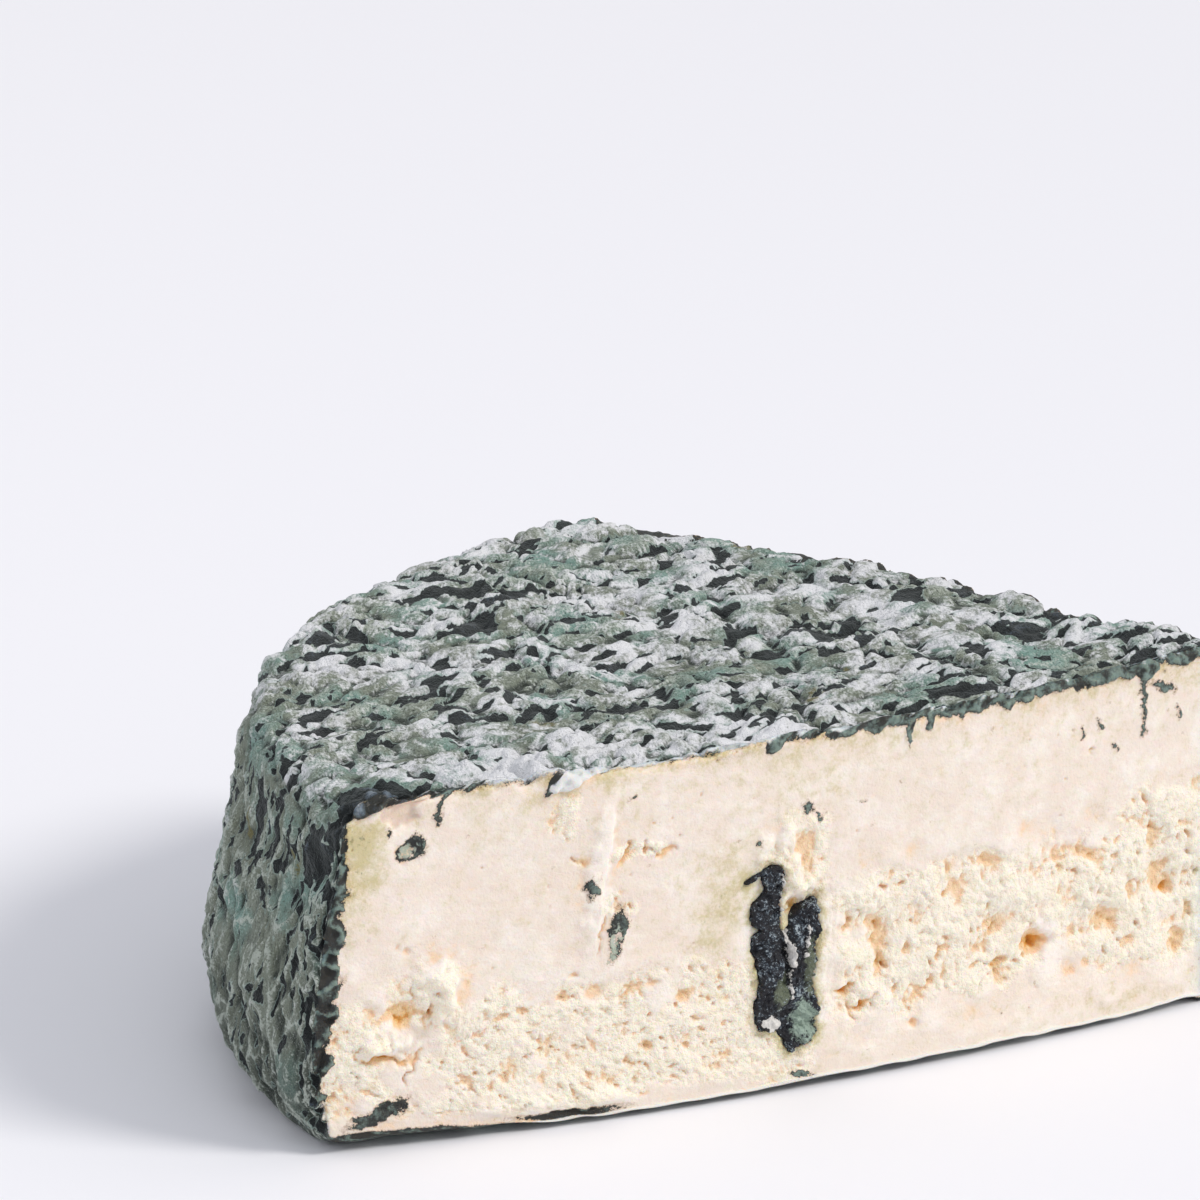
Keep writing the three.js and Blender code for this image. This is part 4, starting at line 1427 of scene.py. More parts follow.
# ------------------------------------------------------------------------------------------------ paste
@dataclass
class CutPaste:
    """The bare paste on the two cuts, with the rind's edge and the small marks of mould on it.

    Attributes:
        rind: the rind, whose skin the edges of the cuts follow.
        front_cell: the spacing of the points on the long cut, in millimetres.
        back_cell: the spacing on the second cut.
        fibre: how high the rind's cut edge and the small marks stand out.
        hollow: the open hollow at the top of the vein: middle along and up, half widths.
        gap: where the crust has come away under the long cut, in the same way.
        scoop: the outline of the shallow scoop by the front corner: along, height.
        side_edge: how thick the rind is at the rim's side of the cut: height, thickness.
        drips: where the rind runs down into the paste: along, how far down, half width.
    """

    rind: MouldRind
    front_cell: float = 0.33
    back_cell: float = 0.62
    fibre: float = 0.35
    hollow: Place = (82.9, 32.4, 2.1, 2.9)
    gap: Place = (41.0, 1.5, 8.5, 0.9)
    scoop: Way = (
        (4.4, 61.0), (5.6, 57.2), (8.6, 54.9), (9.6, 55.4), (12.8, 56.3), (11.2, 58.2), (12.4, 60.0),
        (10.5, 62.0),
    )
    side_edge: Way = (
        (0, 0.6), (8.6, 0.7), (13.8, 1.5), (20.6, 2.6), (27.3, 3.2), (33.9, 3.1), (44, 2.3), (50.7, 1.5),
        (55, 0.8),
    )
    drips: tuple[tuple[float, float, float], ...] = (
        (102.4, 5.6, 0.8), (106.4, 3.2, 1.4), (34.0, 3.3, 1.2), (75.0, 2.2, 2.2), (122.4, 2.6, 2.2),
        (152.2, 3.0, 3.4), (95.5, 2.0, 2.6), (137.5, 2.2, 1.6), (112.8, 2.4, 1.2),
    )

    def broad(self, a: Array, z: Array, aw: Array, zw: Array) -> Array:
        """The body's own relief on the long cut, without the vein: waves, crumb, the named lumps and pits.

        Args:
            a: distance along the cut.
            z: height.
            aw: the same distance, pushed about a little, which frays the lumps and pits.
            zw: the same height, pushed about.

        Returns:
            How far it stands out, in millimetres.
        """
        wave = 0.45 * plain_noise(a / 23, 0.5, z / 17)
        lower = 1 - smooth(24, 36, z + 3 * plain_noise(a / 14, 2.2, 0.3))
        right = smooth(84, 96, a) * smooth(8, 15, z) * (1 - smooth(37, 44, z))
        rough = 0.12 + 0.38 * lower + 0.6 * right
        crumb = plain_noise(a / 4.6, 8.1, z / 3.9) + 0.6 * plain_noise(a / 8.2, 4.4, z / 6.3)
        h = wave + rough * 0.6 * crumb
        for *place, height in LUMPS:
            h = h + height * hill(aw, zw, place)
        for x, y, wide, high, depth in PITS:
            h = h - 0.62 * depth * hill(aw, zw, (x, y, 0.9 * wide, 0.9 * high))
        for *place, depth in HOLES:
            h = h - depth * hill(mix(a, aw, 0.6), mix(z, zw, 0.6), place)
        return h

    def torn(self, a: Array, z: Array) -> tuple[Array, Array]:
        """Where the paste crumbled instead of being cut clean: zones of the face, broken up by noise.

        Args:
            a: distance along the cut.
            z: height.

        Returns:
            0 where it is smooth to 1 where it is torn, and 0 where it is pitted to 1 where it is lumpy.
        """
        right = smooth(84, 98, a) * (0.2 + 0.8 * smooth(7, 15, z)) * (1 - smooth(30, 41, z))
        left = 0.8 * (1 - smooth(20, 33, z)) * (1 - 0.3 * smooth(62, 76, a)) * (1 - smooth(84, 92, a))
        left = left * (0.4 + 0.6 * smooth(2, 9, z))
        vein = 0.9 * np.exp(-(((a - 82) / 6.5) ** 2)) * (1 - smooth(46, 53, z))
        tip = 0.8 * smooth(143, 153, a) * smooth(20, 25, z) * (1 - smooth(36, 47, z))
        lumpy = np.maximum.reduce([right, vein, tip] + [hill(a, z, place) for place in TORN_PATCHES])
        zone = np.maximum(lumpy, left)
        p = on_cut(a, z)
        broken = 0.5 * CURDS.waves(p, 15.0, 3.0) + 0.5 * CURDS.waves(p, 6.0) + 0.35 * CURDS.waves(p, 2.2, 7.0)
        return smooth(0.25, 0.8, zone + broken * (0.25 + zone)), smooth(0.1, 0.8, lumpy)

    def crumb(self, a: Array, z: Array, torn: Array, lumpy: Array) -> Array:
        """The fine relief: curd grains and fine pits where it is torn, faint knife smears elsewhere.

        Lumpy paste is round grains, lower by the square of the distance to the nearest seat, in cells
        1.9 mm and 1 mm wide and drawn out upright, on waves 5.2 mm long, with caves between. Pitted
        paste has lower grains, and holes and dimples where noise 1.8 mm and 0.9 mm long is high. Both
        are held softly below 0.9 mm, the knife's plane. Smears are noise drawn out along the cut, with
        a pinhole here and there.

        Args:
            a: distance along the cut.
            z: height.
            torn: the first of what torn() gave.
            lumpy: the second.

        Returns:
            The height, in millimetres.
        """
        p = on_cut(a, 0.75 * z)
        warp = CURDS.push(p, 3.3, (2.0, 12.0, 22.0)) * 0.9
        big, _ = CURDS.grains(p + warp, 1.9, 3.0)
        small, _ = CURDS.grains(p + warp * 0.7, 1.0, 8.0)
        big_dome, small_dome = 0.33 - big**2, 0.3 - small**2
        vary = 0.55 + 0.6 * smooth(-0.5, 0.5, CURDS.waves(p, 7.0, 19.0))
        cave = CURDS.waves(p + 1.4 * warp, 2.2, 15.0) + 0.4 * CURDS.waves(p, 0.9, 17.0)
        grains = 1.3 * CURDS.waves(p, 5.2, 45.0) + big_dome + small_dome
        grains = grains * vary + 0.22 * CURDS.waves(p, 0.75, 5.0) - 0.95 * smooth(0.6, 0.9, cave)
        r = on_cut(a, 1.15 * z)
        holes = smooth(0.3, 0.6, CURDS.waves(r + warp, 1.8, 25.0) + 0.3 * CURDS.waves(r, 0.7, 27.0))
        dimples = smooth(0.1, 0.5, CURDS.waves(r, 0.9, 29.0))
        pitted = 0.35 * CURDS.waves(r, 4.5, 49.0) + 0.2 * CURDS.waves(r, 0.8, 5.0) + 0.35 * big_dome
        pitted = pitted + 0.5 * small_dome - 0.55 * holes - 0.2 * dimples
        rough = mix(pitted, grains, lumpy)
        plane, ease = 0.9, 2.6
        rough = plane - np.log1p(np.exp((plane - rough) * ease)) / ease
        smear = 0.07 * CURDS.waves(on_cut(0.45 * a, z), 1.6, 31.0) + 0.05 * CURDS.waves(r, 0.9, 37.0)
        pin, _ = CURDS.grains(r, 3.7, 41.0)
        smear = smear - 0.4 * (1 - smooth(0.04, 0.1, pin))
        return mix(smear, rough, torn)

    def small_marks(self, a: Array, z: Array) -> tuple[Array, Array]:
        """The small marks of mould in the paste, as distances inside them, and their whitish middles.

        Two are rings, thick on one side. The others are spots, streaks and a scatter of specks.

        Args:
            a: distance along the cut.
            z: height.

        Returns:
            How far inside a dark mark, and how far inside a whitish one, in millimetres.
        """
        p = on_cut(a, z)
        a, z = frayed(a, z, (0.9, 0.5), (1.9, 0.8), 81.0)
        blotch = spot(a, z, (12.3, 51.2, 2.3, 1.6), 25)
        block = spot(a, z, (50.4, 31.6, 1.1, 3.7), -5)
        marks = np.maximum.reduce([
            np.where(a + 0.6 * z > 43.2, 0.7, 0.4) - np.abs(blotch - 0.3),
            np.where(z > 33.2, 0.8, 0.25) - np.abs(block - 0.25),
            streaks(a, z, STREAKS),
            *(spot(a, z, place, turn) for place, turn in SPOTS),
        ])
        speck, _ = CURDS.grains(p, 5.4, 51.0)
        near = np.maximum(glow(a, z, (67, 37, 7, 11)), 0.5 * smooth(50, 60, z))
        marks = np.maximum(marks, (0.055 * near - speck) * 5.4)
        whitish = np.maximum(spot(a, z, (12.0, 51.3, 1.7, 1.1), 25), spot(a, z, (50.2, 30.8, 0.8, 3.0), -5))
        return marks, whitish

    def front_sheet(self) -> Sheet:
        """The long cut, which shows most.

        Its height is a sum: the body's relief, the crumb, the curl of curd, the cracks, the fault, the
        scoop, the ruffles and beads of the rind's edge, the tongue of bloom, and the hollows round the
        vein and under the cut. At the rim and at the top edge it gives way to the rind's own skin.
        """
        body = PLAN
        s = np.linspace(0, 1, int(body.cut_length / self.front_cell))[:, None]
        rows = int(body.cut_rise / self.front_cell)
        up = body.even_rows((body.rim_profile, body.cut_profile), rows)[None, :]
        s, up = np.broadcast_arrays(s, up)
        p = body.front(s, up)
        a = s * body.cut_length
        z = p[..., 2]
        below_top = body.front(s, np.array(1.0))[..., 2] - z
        by_rim, by_top = close_to(a, body.rim_edge), close_to(below_top, body.top_edge)
        by_tip = close_to(body.cut_length - a, 2.0)
        rim_out = body.rim_out(np.array(body.front_corner_deg), up)
        sheet = Sheet(p, lean(body.front_out(s), (by_top, UP), (by_rim, rim_out)))
        torn, lumpy = self.torn(a, z)
        q = on_cut(a, z)
        aw, zw = frayed(a, z, (1.1, 0.5), (2.6, 1.1), 93.0)
        h = self.broad(a, z, aw, zw) + self.crumb(a, z, torn, lumpy)
        curl = streaks(mix(a, aw, 0.55), mix(z, zw, 0.55), CURL)
        h = h + 1.2 * smooth(-0.5, 1.5, curl) * (1 + 0.5 * CURDS.waves(q, 1.6, 111.0))
        crack = streaks(aw, zw, CRACKS)
        h = h - 0.9 * smooth(-0.5, 0.3, crack)
        # The fault: an upright line, whose left side steps out.
        line = mix(aw, a, 0.6) - 47.2 - 0.04 * (z - 43)
        fault = smooth(29, 33, z) * (1 - smooth(53, 57, z)) * (1 - smooth(-0.2, 0.2, line))
        h = h + 0.5 * fault * np.exp(np.minimum(line, 0) / 2.5)
        scoop = inside_of(mix(a, aw, 0.7), mix(z, zw, 0.7), self.scoop)
        h = h - 0.9 * smooth(-0.3, 0.5, scoop)
        # The rind's edge, the tongue of bloom that hangs over the top, and the beads at the corner.
        rind_mark, marks, whitish = self.rind_edge(a, z, below_top)
        ruffle = 2.6 * (0.3 - np.abs(CURDS.waves(q, 2.9, 101.0))) + 0.5 * CURDS.waves(q, 1.0, 103.0)
        h = h + smooth(-0.2, 0.6, rind_mark) * ruffle * mix(1.0, 0.5, smooth(5, 10, a))
        tongue = 3.2 * smooth(33.8, 35.6, aw) * (1 - smooth(37.0, 44.5, aw)) - below_top
        tongue = tongue + 0.9 * CURDS.waves(q, 1.8, 107.0)
        cotton = 0.7 + 1.2 * CURDS.waves(q, 2.2, 105.0) + 0.7 * CURDS.waves(q, 1.0, 109.0)
        h = h + cotton * smooth(-0.1, 0.9, tongue)
        corner, bead = self.rind.corner(p)
        h = h + 2.8 * corner * (0.5 - bead) * smooth(-0.3, 0.3, rind_mark)
        # The hollows: the vein's seat, the open one at its top with a crumb in it, and the gap under the cut.
        h = h - 1.5 * smooth(-0.3, 0.8, vein_outline(a, z))
        pool = spot(a, z, self.hollow)
        h = h - 2.0 * smooth(-0.2, 1.8, pool) + 0.9 * smooth(0, 0.4, spot(a, z, (82.3, 32.4, 0.6, 0.6)))
        h = h - 1.6 * smooth(-0.2, 0.6, spot(aw, zw, self.gap))
        # Upright striae right of the vein, where the knife dragged.
        striae = CURDS.waves(points_at(a / 0.85, z / 6.0), 1.0, 61.0)
        h = h + 0.28 * striae * glow(a, z, (90, 28, 3.5, 12))
        h = h + self.fibre * smooth(-0.3, 0.3, rind_mark) + 0.25 * smooth(-0.2, 0.2, marks)
        skin = self.rind.skin(p, body.upward(p), np.maximum(by_top * self.rind.drawn_up(a), by_rim))
        edge = 1 - (1 - by_rim) * (1 - by_top)
        stand = h - soften(h, 7)
        h = mix(h, skin["height"], edge) * (1 - 0.85 * by_tip * (1 - by_top))
        in_scoop, in_crack = smooth(-0.3, 0.2, scoop), smooth(-0.3, 0.3, crack)
        over_vein, in_lump = hill(a, z, (84.0, 41.0, 4.0, 5.5)), hill(aw, zw, (15.4, 23.0, 2.6, 3.6))
        # Painted shade: pit grows where the paste lies lower than its blur, and in the open hollow, the
        # cracks and the lump's hollow. high, how far it stands above its blur, gives painted highlight and
        # shade; bead gives the beads' painted highlight.
        pit = np.clip(-stand / 0.7, 0, 2.6) * (1 - 0.8 * in_scoop) * (1 - 0.6 * over_vein)
        ruff = smooth(15, 22, a) * (1 - smooth(72, 84, a))
        lip = smooth(26, 34, a)
        sheet.marks = {
            "pit": pit + 0.9 * smooth(0, 1.2, pool) + 0.6 * in_crack + 0.8 * in_lump,
            "high": np.clip(stand / 0.5, -1.5, 1.5) * (1 - in_scoop),
            "torn": torn,
            "dark": 1.3 * corner - 0.55 * smooth(46, 60, a),
            "bead": skin["bead"] * smooth(-0.1, 0.2, rind_mark),
            "green": self.green_tint(a, z, below_top) * (1 - in_scoop),
            "pink": in_scoop,
            "rind": np.maximum(rind_mark, marks),
            "whitish": whitish,
            "frost": np.maximum(0.95 - below_top / 0.55 - 3 * (1 - ruff), tongue / 0.5),
            "lip": 0.85 - z - 3 * (1 - lip),
        }
        sheet.raise_by(h * smooth(0, 5, z) + 0.9 * lip * (1 - smooth(0.35, 1.0, z)))
        sheet.points[..., 2] += body.lift(a, 0 * a, z)
        return sheet

    def rind_edge(self, a: Array, z: Array, below_top: Array) -> tuple[Array, Array, Array]:
        """Where the rind's own thickness shows round the cut, and the small marks.

        The rind is a thickness at each place of the edge, made ragged by noise along the edge. It runs
        down into the paste at the drips, each a parabola, and scallops 4.2 mm and 1.7 mm high edge its
        side.

        Args:
            a: distance along the cut.
            z: height.
            below_top: distance below the top edge.

        Returns:
            How far inside the rind, how far inside a small mark, and how far inside a whitish middle.
        """
        marks, whitish = self.small_marks(a, z)
        p = on_cut(a, z)
        ragged = CURDS.waves(points_at(a / 2.6, 1.5))
        ragged = ragged + 0.4 * CURDS.waves(points_at(a / 0.9, below_top / 1.4, 4.0))
        a = a + 0.6 * CURDS.waves(p, 1.5, 91.0) + 0.25 * CURDS.waves(p, 0.6, 92.0)
        slow = CURDS.waves(points_at(a / 8.0, 11.5))
        top = 0.6 + 0.7 * ragged + 1.3 * slow + 2.2 * np.exp(-((a / 6.0) ** 2)) + 0.8 * smooth(92, 112, a)
        top = np.maximum(top, 0.35 + 0.3 * ragged)
        for at, length, half in self.drips:
            top = np.maximum(top, length * (1 - ((a - at - 0.15 * below_top) / half) ** 2))
        heights, widths = zip(*self.side_edge)
        scallop = np.abs(CURDS.waves(points_at(a / 6.0 + 2.0, z / 4.2)))
        tooth = np.abs(CURDS.waves(points_at(a / 3.0 + 5.0, z / 1.7)))
        side = np.interp(z, heights, widths) - 0.9 + 2.4 * scallop + 1.0 * tooth
        foot = 0.3 + 0.3 * ragged + 1.7 * (1 - smooth(16, 34, a)) - 0.6 * smooth(62, 72, a) + 0.6 * slow
        foot = np.maximum(foot - z, spot(a, z, self.gap))
        return np.maximum.reduce([top - below_top, side - a, foot]), marks, whitish

    def green_tint(self, a: Array, z: Array, below_top: Array) -> Array:
        """Where mould has tinted the paste yellow-green: under the rind, at the corner, round the vein."""
        cloud = CURDS.waves(on_cut(a, z), 5.0, 71.0)
        corner = 1.15 * np.exp(-((np.maximum(a - 2, 0) / 6.0) ** 2)) * smooth(32, 48, z)
        tint = np.maximum.reduce([
            np.exp(-below_top / 5.0) * 0.75,
            corner,
            0.7 * glow(a, z, (69, 36, 7, 11)),
            0.9 * smooth(-2.6, -0.2, vein_outline(a, z)),
            0.5 * glow(a, z, (84, 55, 9, 6)),
            0.45 * glow(a, z, (148, 4, 16, 3.5)),
        ])
        return np.minimum(tint * (1 + 0.7 * cloud), 1.15)

    def back_sheet(self) -> Sheet:
        """The blunt thin end and the second cut, which is finished like the first but has no vein."""
        body = PLAN
        length = body.tail_length
        blunt = body.tip_run / length
        main = np.linspace(blunt, 1, int(length / self.back_cell))
        q = np.concatenate([np.linspace(0, blunt, 12)[:-1], main])[:, None]
        rows = int(body.cut_rise / self.back_cell)
        up = body.even_rows((body.rim_profile, body.cut_profile), rows)[None, :]
        q, up = np.broadcast_arrays(q, up)
        p = body.tail(q, up)
        b = q * length
        z = p[..., 2]
        below_top = body.tail(q, np.array(1.0))[..., 2] - z
        to_rim = length - b
        by_rim, by_top = close_to(to_rim, body.rim_edge), close_to(below_top, body.top_edge)
        by_tip = close_to(b, body.tip_run)
        rim_out = body.rim_out(np.array(body.far_corner_deg), up)
        sheet = Sheet(p, lean(body.tail_out(q), (by_top, UP), (by_rim, rim_out)))
        rough = 0.2 + 0.35 * smooth(20, 34, z + 4 * plain_noise(b / 16, 5.5, 1.3))
        crumb = plain_noise(b / 5.4, 2.1, z / 4.4) + 0.6 * plain_noise(b / 9.1, 7.4, z / 7.2)
        h = 0.5 * plain_noise(b / 21, 3.5, z / 18) + 0.6 * rough * crumb
        r = on_cut(b, z, 90.3)
        zone = 0.5 + 0.6 * CURDS.waves(r, 22.0) - 0.35 * smooth(38, 52, z) - 0.4 * (1 - smooth(4, 12, b))
        torn = smooth(0.36, 0.66, zone + 0.42 * CURDS.waves(r, 6.5) + 0.22 * CURDS.waves(r, 2.4, 7.0))
        h = h + self.crumb(b + 300, z, torn, smooth(-0.2, 0.2, CURDS.waves(r, 30.0, 3.0)))
        ragged = CURDS.waves(points_at(b / 2.6, 1.5, 80.0))
        ragged = ragged + 0.6 * CURDS.waves(points_at(b / 0.9, below_top / 1.4, 84.0))
        scallop = np.abs(CURDS.waves(points_at(82.0, z / 2.1)))
        rind = np.maximum.reduce([
            1.3 + 0.7 * ragged - below_top,
            1.0 + 1.6 * scallop - to_rim,
            0.75 + 0.35 * ragged - z,
        ])
        skin = self.rind.skin(p, body.upward(p), 0 * z)
        edge = 1 - (1 - by_rim) * (1 - by_top)
        stand = h - soften(h, 4)
        h = mix(h + 0.3 * smooth(-0.3, 0.3, rind), skin["height"], edge) * (1 - 0.85 * by_tip * (1 - by_top))
        # Painted shade: pit where the paste lies lower than its blur; high gives painted highlight and shade.
        sheet.marks = {
            "pit": np.clip(-stand / 0.75, 0, 2.5),
            "high": np.clip(stand / 0.5, -1.5, 1.5),
            "torn": torn,
            "green": np.exp(-below_top / 5.0) * 0.75 * (1 + 0.7 * CURDS.waves(r, 5.0)),
            "rind": rind,
        }
        sheet.marks.update({name: 0 * z for name in ("pink", "dark", "bead")})
        sheet.marks.update({name: 0 * z - 1 for name in ("whitish", "frost", "lip")})
        sheet.raise_by(h * smooth(0, 5, z))
        return sheet


# ------------------------------------------------------------------------------------------------ vein
def vein_outline(a: Array, z: Array) -> Array:
    """How far inside the crust of the vein a point of the cut is, in millimetres, with its ragged edge.

    The outline is frayed by noise 2.4 mm, 1 mm and 0.5 mm long. A thin hook of mould reaches out at its
    top.

    Args:
        a: distance along the cut.
        z: height.

    Returns:
        Positive inside.
    """
    p = on_cut(a, z)
    inside = inside_of(a, z, VEIN_OUTLINE) + 0.45 * CURDS.waves(p, 2.4, 5.5)
    inside = inside + 0.35 * CURDS.waves(p, 1.0, 6.5) + 0.15 * CURDS.waves(p, 0.5, 7.5)
    return np.maximum(inside, streak(a, z, (73.8, 38.0), (76.9, 39.6), 0.36))


@dataclass
class VeinCrust:
    """The chunk of blue mould that fills an air channel and shows on the long cut.

    Attributes:
        cell: the spacing of its points, in millimetres.
        span: its grid's reach: along from, along to, height from, height to.
        sunk: how deep the grid dives under the paste outside the outline.
        depth: how far behind the cut the point that closes it lies.
        ridges: the pale ridges of curd on it: from, to, half width.
    """

    cell: float = 0.15
    span: tuple[float, float, float, float] = (72.6, 89.8, 5.6, 42.6)
    sunk: float = 2.6
    depth: float = 7.0
    ridges: Lines = (
        ((80.2, 38.9), (80.9, 30.7), 0.2), ((81.8, 29.4), (82.8, 25.8), 0.35),
        ((82.9, 25.6), (83.5, 22.6), 0.5), ((83.2, 21.8), (82.9, 17.0), 0.15),
        ((85.9, 28.9), (85.6, 24.0), 0.25),
    )

    def sheet(self) -> Sheet:
        """The chunk: a granular height field that dives below the paste outside its outline.

        Inside, the height is a base, plus lumps 3.6 mm long, plus ledges with flat tops of the same
        length, plus grains 1.5 mm apart that are cut off flat, plus finer noise, less the trench
        between the two strips, plus the pale ridges and the block of curd.
        """
        body = PLAN
        low, high, foot, head = self.span
        a = np.linspace(low, high, int((high - low) / self.cell))[:, None]
        z = np.linspace(foot, head, int((head - foot) / self.cell))[None, :]
        a, z = np.broadcast_arrays(a, z)
        s = a / body.cut_length
        x = body.front(s, np.array(0.5))[..., 0]
        p = body.front(s, body.share_at(z / body.swell(x)))
        p[..., 2] = z
        q = on_cut(a, z)
        warp = CURDS.push(q, 1.6, (2.5, 12.5, 22.5)) * 0.8
        nearest, second = CURDS.grains(q + warp, 1.5, 1.0)
        ridge = streaks(a, z, self.ridges) + 0.35 * CURDS.waves(q, 1.1, 3.0) + 0.2 * CURDS.waves(q, 0.5, 3.0)
        ledge = CURDS.waves((q + warp) * np.array([0.6, 1, 1]), 3.6, 14.0)
        block = spot(a, z, (78.8, 13.1, 2.2, 1.5), -35) + 0.9 * CURDS.waves(q, 1.2, 4.0)
        dust = spot(a, z, (85.5, 12.4, 2.7, 4.6), -4) + 0.9 * CURDS.waves(q, 1.5, 9.0)
        moss = np.maximum(spot(a, z, (86.8, 21.5, 1.2, 6.0), 3), spot(a, z, (81.4, 18.5, 1.5, 3.6), -8))
        trench = np.exp(-(((a - 82.2 - 0.3 * np.sin(z / 3.0)) / 0.8) ** 2)) * smooth(17, 22, z)
        height = (
            0.35
            + 1.1 * CURDS.waves(q, 3.6, 8.0)
            + 0.45 * np.sign(ledge) * np.abs(ledge) ** 0.3
            + 0.9 * np.minimum(second - nearest, 0.35)
            + 0.35 * CURDS.waves(q, 0.75, 6.0)
            - 1.5 * trench
            + 0.7 * smooth(-0.2, 0.3, ridge)
            + 0.3 * smooth(0, 0.5, block)
        )
        middle = body.front(np.array((low + high) / 2 / body.cut_length), np.array(0.4))
        middle = middle - self.depth * body.front_out(np.array(0.5))
        sheet = Sheet(p, body.front_out(s), heart=tuple(middle.tolist()))
        sheet.marks = {
            "curd": np.maximum(ridge + 0.05, block - 0.3),
            "dust": dust * 0.6,
            "moss": moss + 0.4 * CURDS.waves(q, 1.2, 15.0),
            # high: how far the crust stands above its blur, which the finish paints paler, a painted
            # highlight.
            "high": height - soften(height, 4),
        }
        sheet.raise_by(mix(-self.sunk, height, smooth(-0.2, 0.2, vein_outline(a, z))))
        return sheet


# ------------------------------------------------------------------------------------------------ the wedge
@dataclass
class BlueCheeseWedge:
    """The whole wedge: rind, paste and vein, each piece dressed and put in the part's frame."""

    rind: MouldRind = field(default_factory=MouldRind)
    pieces: list[bpy.types.Object] = field(default_factory=list)

    def add(self, sheet: Sheet, which: Piece, finish: bpy.types.Material) -> None:
        """Makes one piece, gives it its finish and tells the frame what it stands for.

        Args:
            sheet: the piece's surface.
            which: which piece it is.
            finish: its material.
        """
        piece = sheet.piece(which.value)
        piece.data.materials.append(finish)
        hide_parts(NODE)
        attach(piece, "root")
        self.pieces.append(piece)
        LOG.info("%s: %d triangles", piece.name, len(piece.data.polygons))

    def build(self) -> None:
        """Builds the pieces in order: rind, paste, vein."""
        felt, curd, crust = MouldRindFinish().make(), CurdPasteFinish().make(), VeinCrustFinish().make()
        paste = CutPaste(self.rind)
        self.add(self.rind.rim_sheet(), Piece.RIM, felt)
        self.add(self.rind.top_sheet(), Piece.TOP, felt)
        self.add(self.rind.underside_sheet(), Piece.UNDERSIDE, felt)
        self.add(paste.front_sheet(), Piece.FRONT_CUT, curd)
        self.add(paste.back_sheet(), Piece.BACK_CUT, curd)
        self.add(VeinCrust().sheet(), Piece.VEIN, crust)


# ------------------------------------------------------------------------------------------------ the studio
def hang(name: str, data: bpy.types.ID, azimuth: float, elevation: float) -> bpy.types.Object:
    """Puts a camera or a lamp in the scene, turned to look back along a direction seen from the wedge.

    Args:
        name: its name.
        data: the camera's or the lamp's own data.
        azimuth: where it stands, in degrees from -Y towards +X.
        elevation: how high, in degrees.

    Returns:
        The object, still at the origin.
    """
    obj = bpy.data.objects.new(name, data)
    bpy.context.scene.collection.objects.link(obj)
    obj.rotation_euler = (math.radians(90 - elevation), 0, math.radians(azimuth))
    return obj


def towards(azimuth: float, elevation: float) -> Array:
    """The direction of a place in the room, seen from the wedge."""
    a, e = math.radians(azimuth), math.radians(elevation)
    return np.array([math.sin(a) * math.cos(e), -math.cos(a) * math.cos(e), math.sin(e)])


class LampKind(Enum):
    """The kinds of lamp: a far, soft light that reaches the floor evenly, and a square soft box."""

    FAR = "SUN"
    BOX = "AREA"


@dataclass(frozen=True)
class Lamp:
    """One soft lamp, turned to the wedge.

    Attributes:
        name: its name.
        kind: which kind it is.
        azimuth: where it hangs, in degrees from -Y towards +X.
        elevation: how high, in degrees.
        distance: how far off, in metres.
        size: a box's side in metres, or how wide a far lamp looks, in degrees.
        power: a box's watts, or a far lamp's watts a square metre.
        colour: its colour.
    """

    name: str
    kind: LampKind
    azimuth: float
    elevation: float
    distance: float
    size: float
    power: float
    colour: str

    def build(self) -> None:
        """Hangs the lamp."""
        data = bpy.data.lights.new(self.name, self.kind.value)
        if self.kind is LampKind.FAR:
            data.angle = math.radians(self.size)
        else:
            data.shape = "SQUARE"
            data.size = self.size
        data.energy = self.power
        data.color = linear(self.colour)[:3]
        lamp = hang(self.name, data, self.azimuth, self.elevation)
        lamp.location = towards(self.azimuth, self.elevation) * self.distance


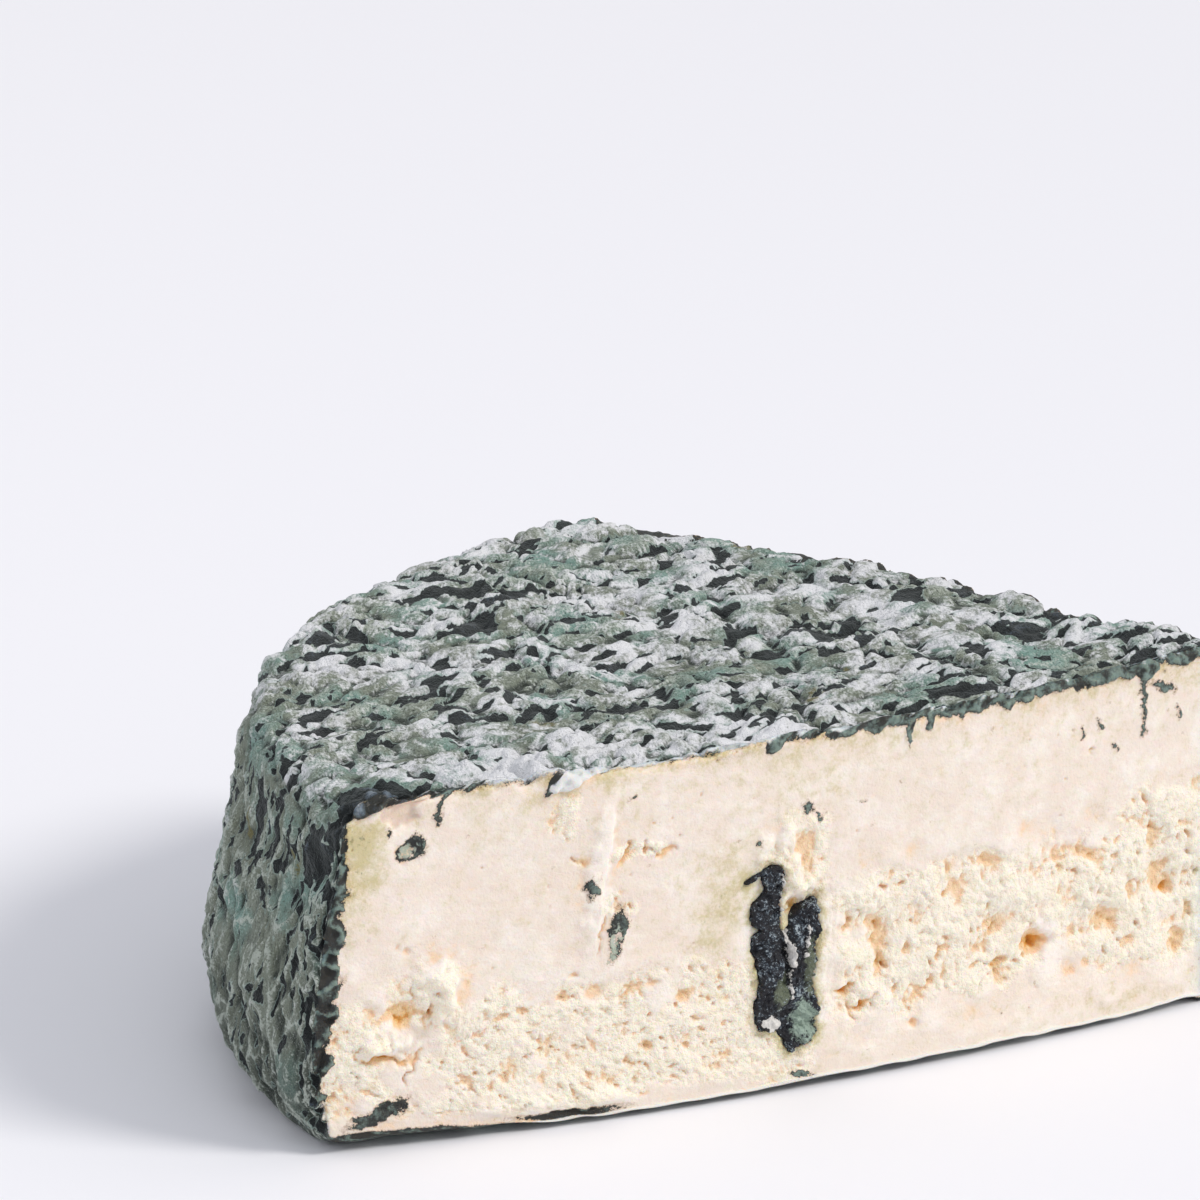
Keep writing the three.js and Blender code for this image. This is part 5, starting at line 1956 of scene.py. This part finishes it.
@dataclass(frozen=True)
class Studio:
    """The plain pale floor, the soft light and the camera at the photograph's viewing angle.

    Attributes:
        azimuth: where the camera stands, in degrees from -Y towards +X.
        elevation: how far it looks down.
        distance: how far it is from the point it looks at, in metres.
        aim: that point.
        lens: its focal length in millimetres.
        film: its film's width in millimetres.
        floor: half the floor's side, in metres.
        lamps: the lamps.
        room: the colour of the light from all round.
        room_light: its strength.
    """

    azimuth: float = -27.0
    elevation: float = 16.5
    distance: float = 1.3
    aim: tuple[float, float, float] = (-0.01811, -0.03616, 0.07942)
    lens: float = 232.5
    film: float = 36.0
    floor: float = 4.0
    lamps: tuple[Lamp, ...] = (
        Lamp("key", LampKind.FAR, 46, 41, 2.0, 18.0, 1.7, "#fffaf5"),
        Lamp("overhead", LampKind.BOX, -20, 80, 1.4, 0.9, 1.6, "#f6f8ff"),
        Lamp("fill", LampKind.BOX, -75, 30, 1.6, 0.9, 2.6, "#f2f4ff"),
    )
    room: str = "#f4f4fb"
    room_light: float = 0.66

    def camera(self) -> None:
        """Stands the camera and aims it level."""
        data = bpy.data.cameras.new("camera")
        data.lens = self.lens
        data.sensor_width = self.film
        data.clip_start = 0.05
        data.clip_end = 20.0
        eye = hang("camera", data, self.azimuth, self.elevation)
        eye.location = np.array(self.aim) + towards(self.azimuth, self.elevation) * self.distance
        bpy.context.scene.camera = eye

    def build(self) -> None:
        """Lays the floor, hangs the lamps and stands the camera."""
        mesh = bpy.data.meshes.new("floor")
        corners = [(self.floor * x, self.floor * y, 0) for x, y in ((-1, -1), (1, -1), (1, 1), (-1, 1))]
        mesh.from_pydata(corners, [], [(0, 1, 2, 3)])
        mesh.materials.append(StudioFloorFinish().make())
        floor = bpy.data.objects.new("floor", mesh)
        bpy.context.scene.collection.objects.link(floor)
        for lamp in self.lamps:
            lamp.build()
        world = bpy.data.worlds.new("room")
        world.use_nodes = True
        back = world.node_tree.nodes["Background"]
        back.inputs["Color"].default_value = linear(self.room)
        back.inputs["Strength"].default_value = self.room_light
        bpy.context.scene.world = world
        bpy.context.scene.view_settings.view_transform = "Standard"
        self.camera()


def main() -> None:
    """Builds the wedge and the studio, and reports each piece and how many there are."""
    logging.basicConfig(level=logging.INFO, format="%(name)s: %(message)s")
    wedge = BlueCheeseWedge()
    wedge.build()
    Studio().build()
    LOG.info("%d pieces", len(wedge.pieces))
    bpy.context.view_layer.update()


if __name__ == "__main__":
    main()
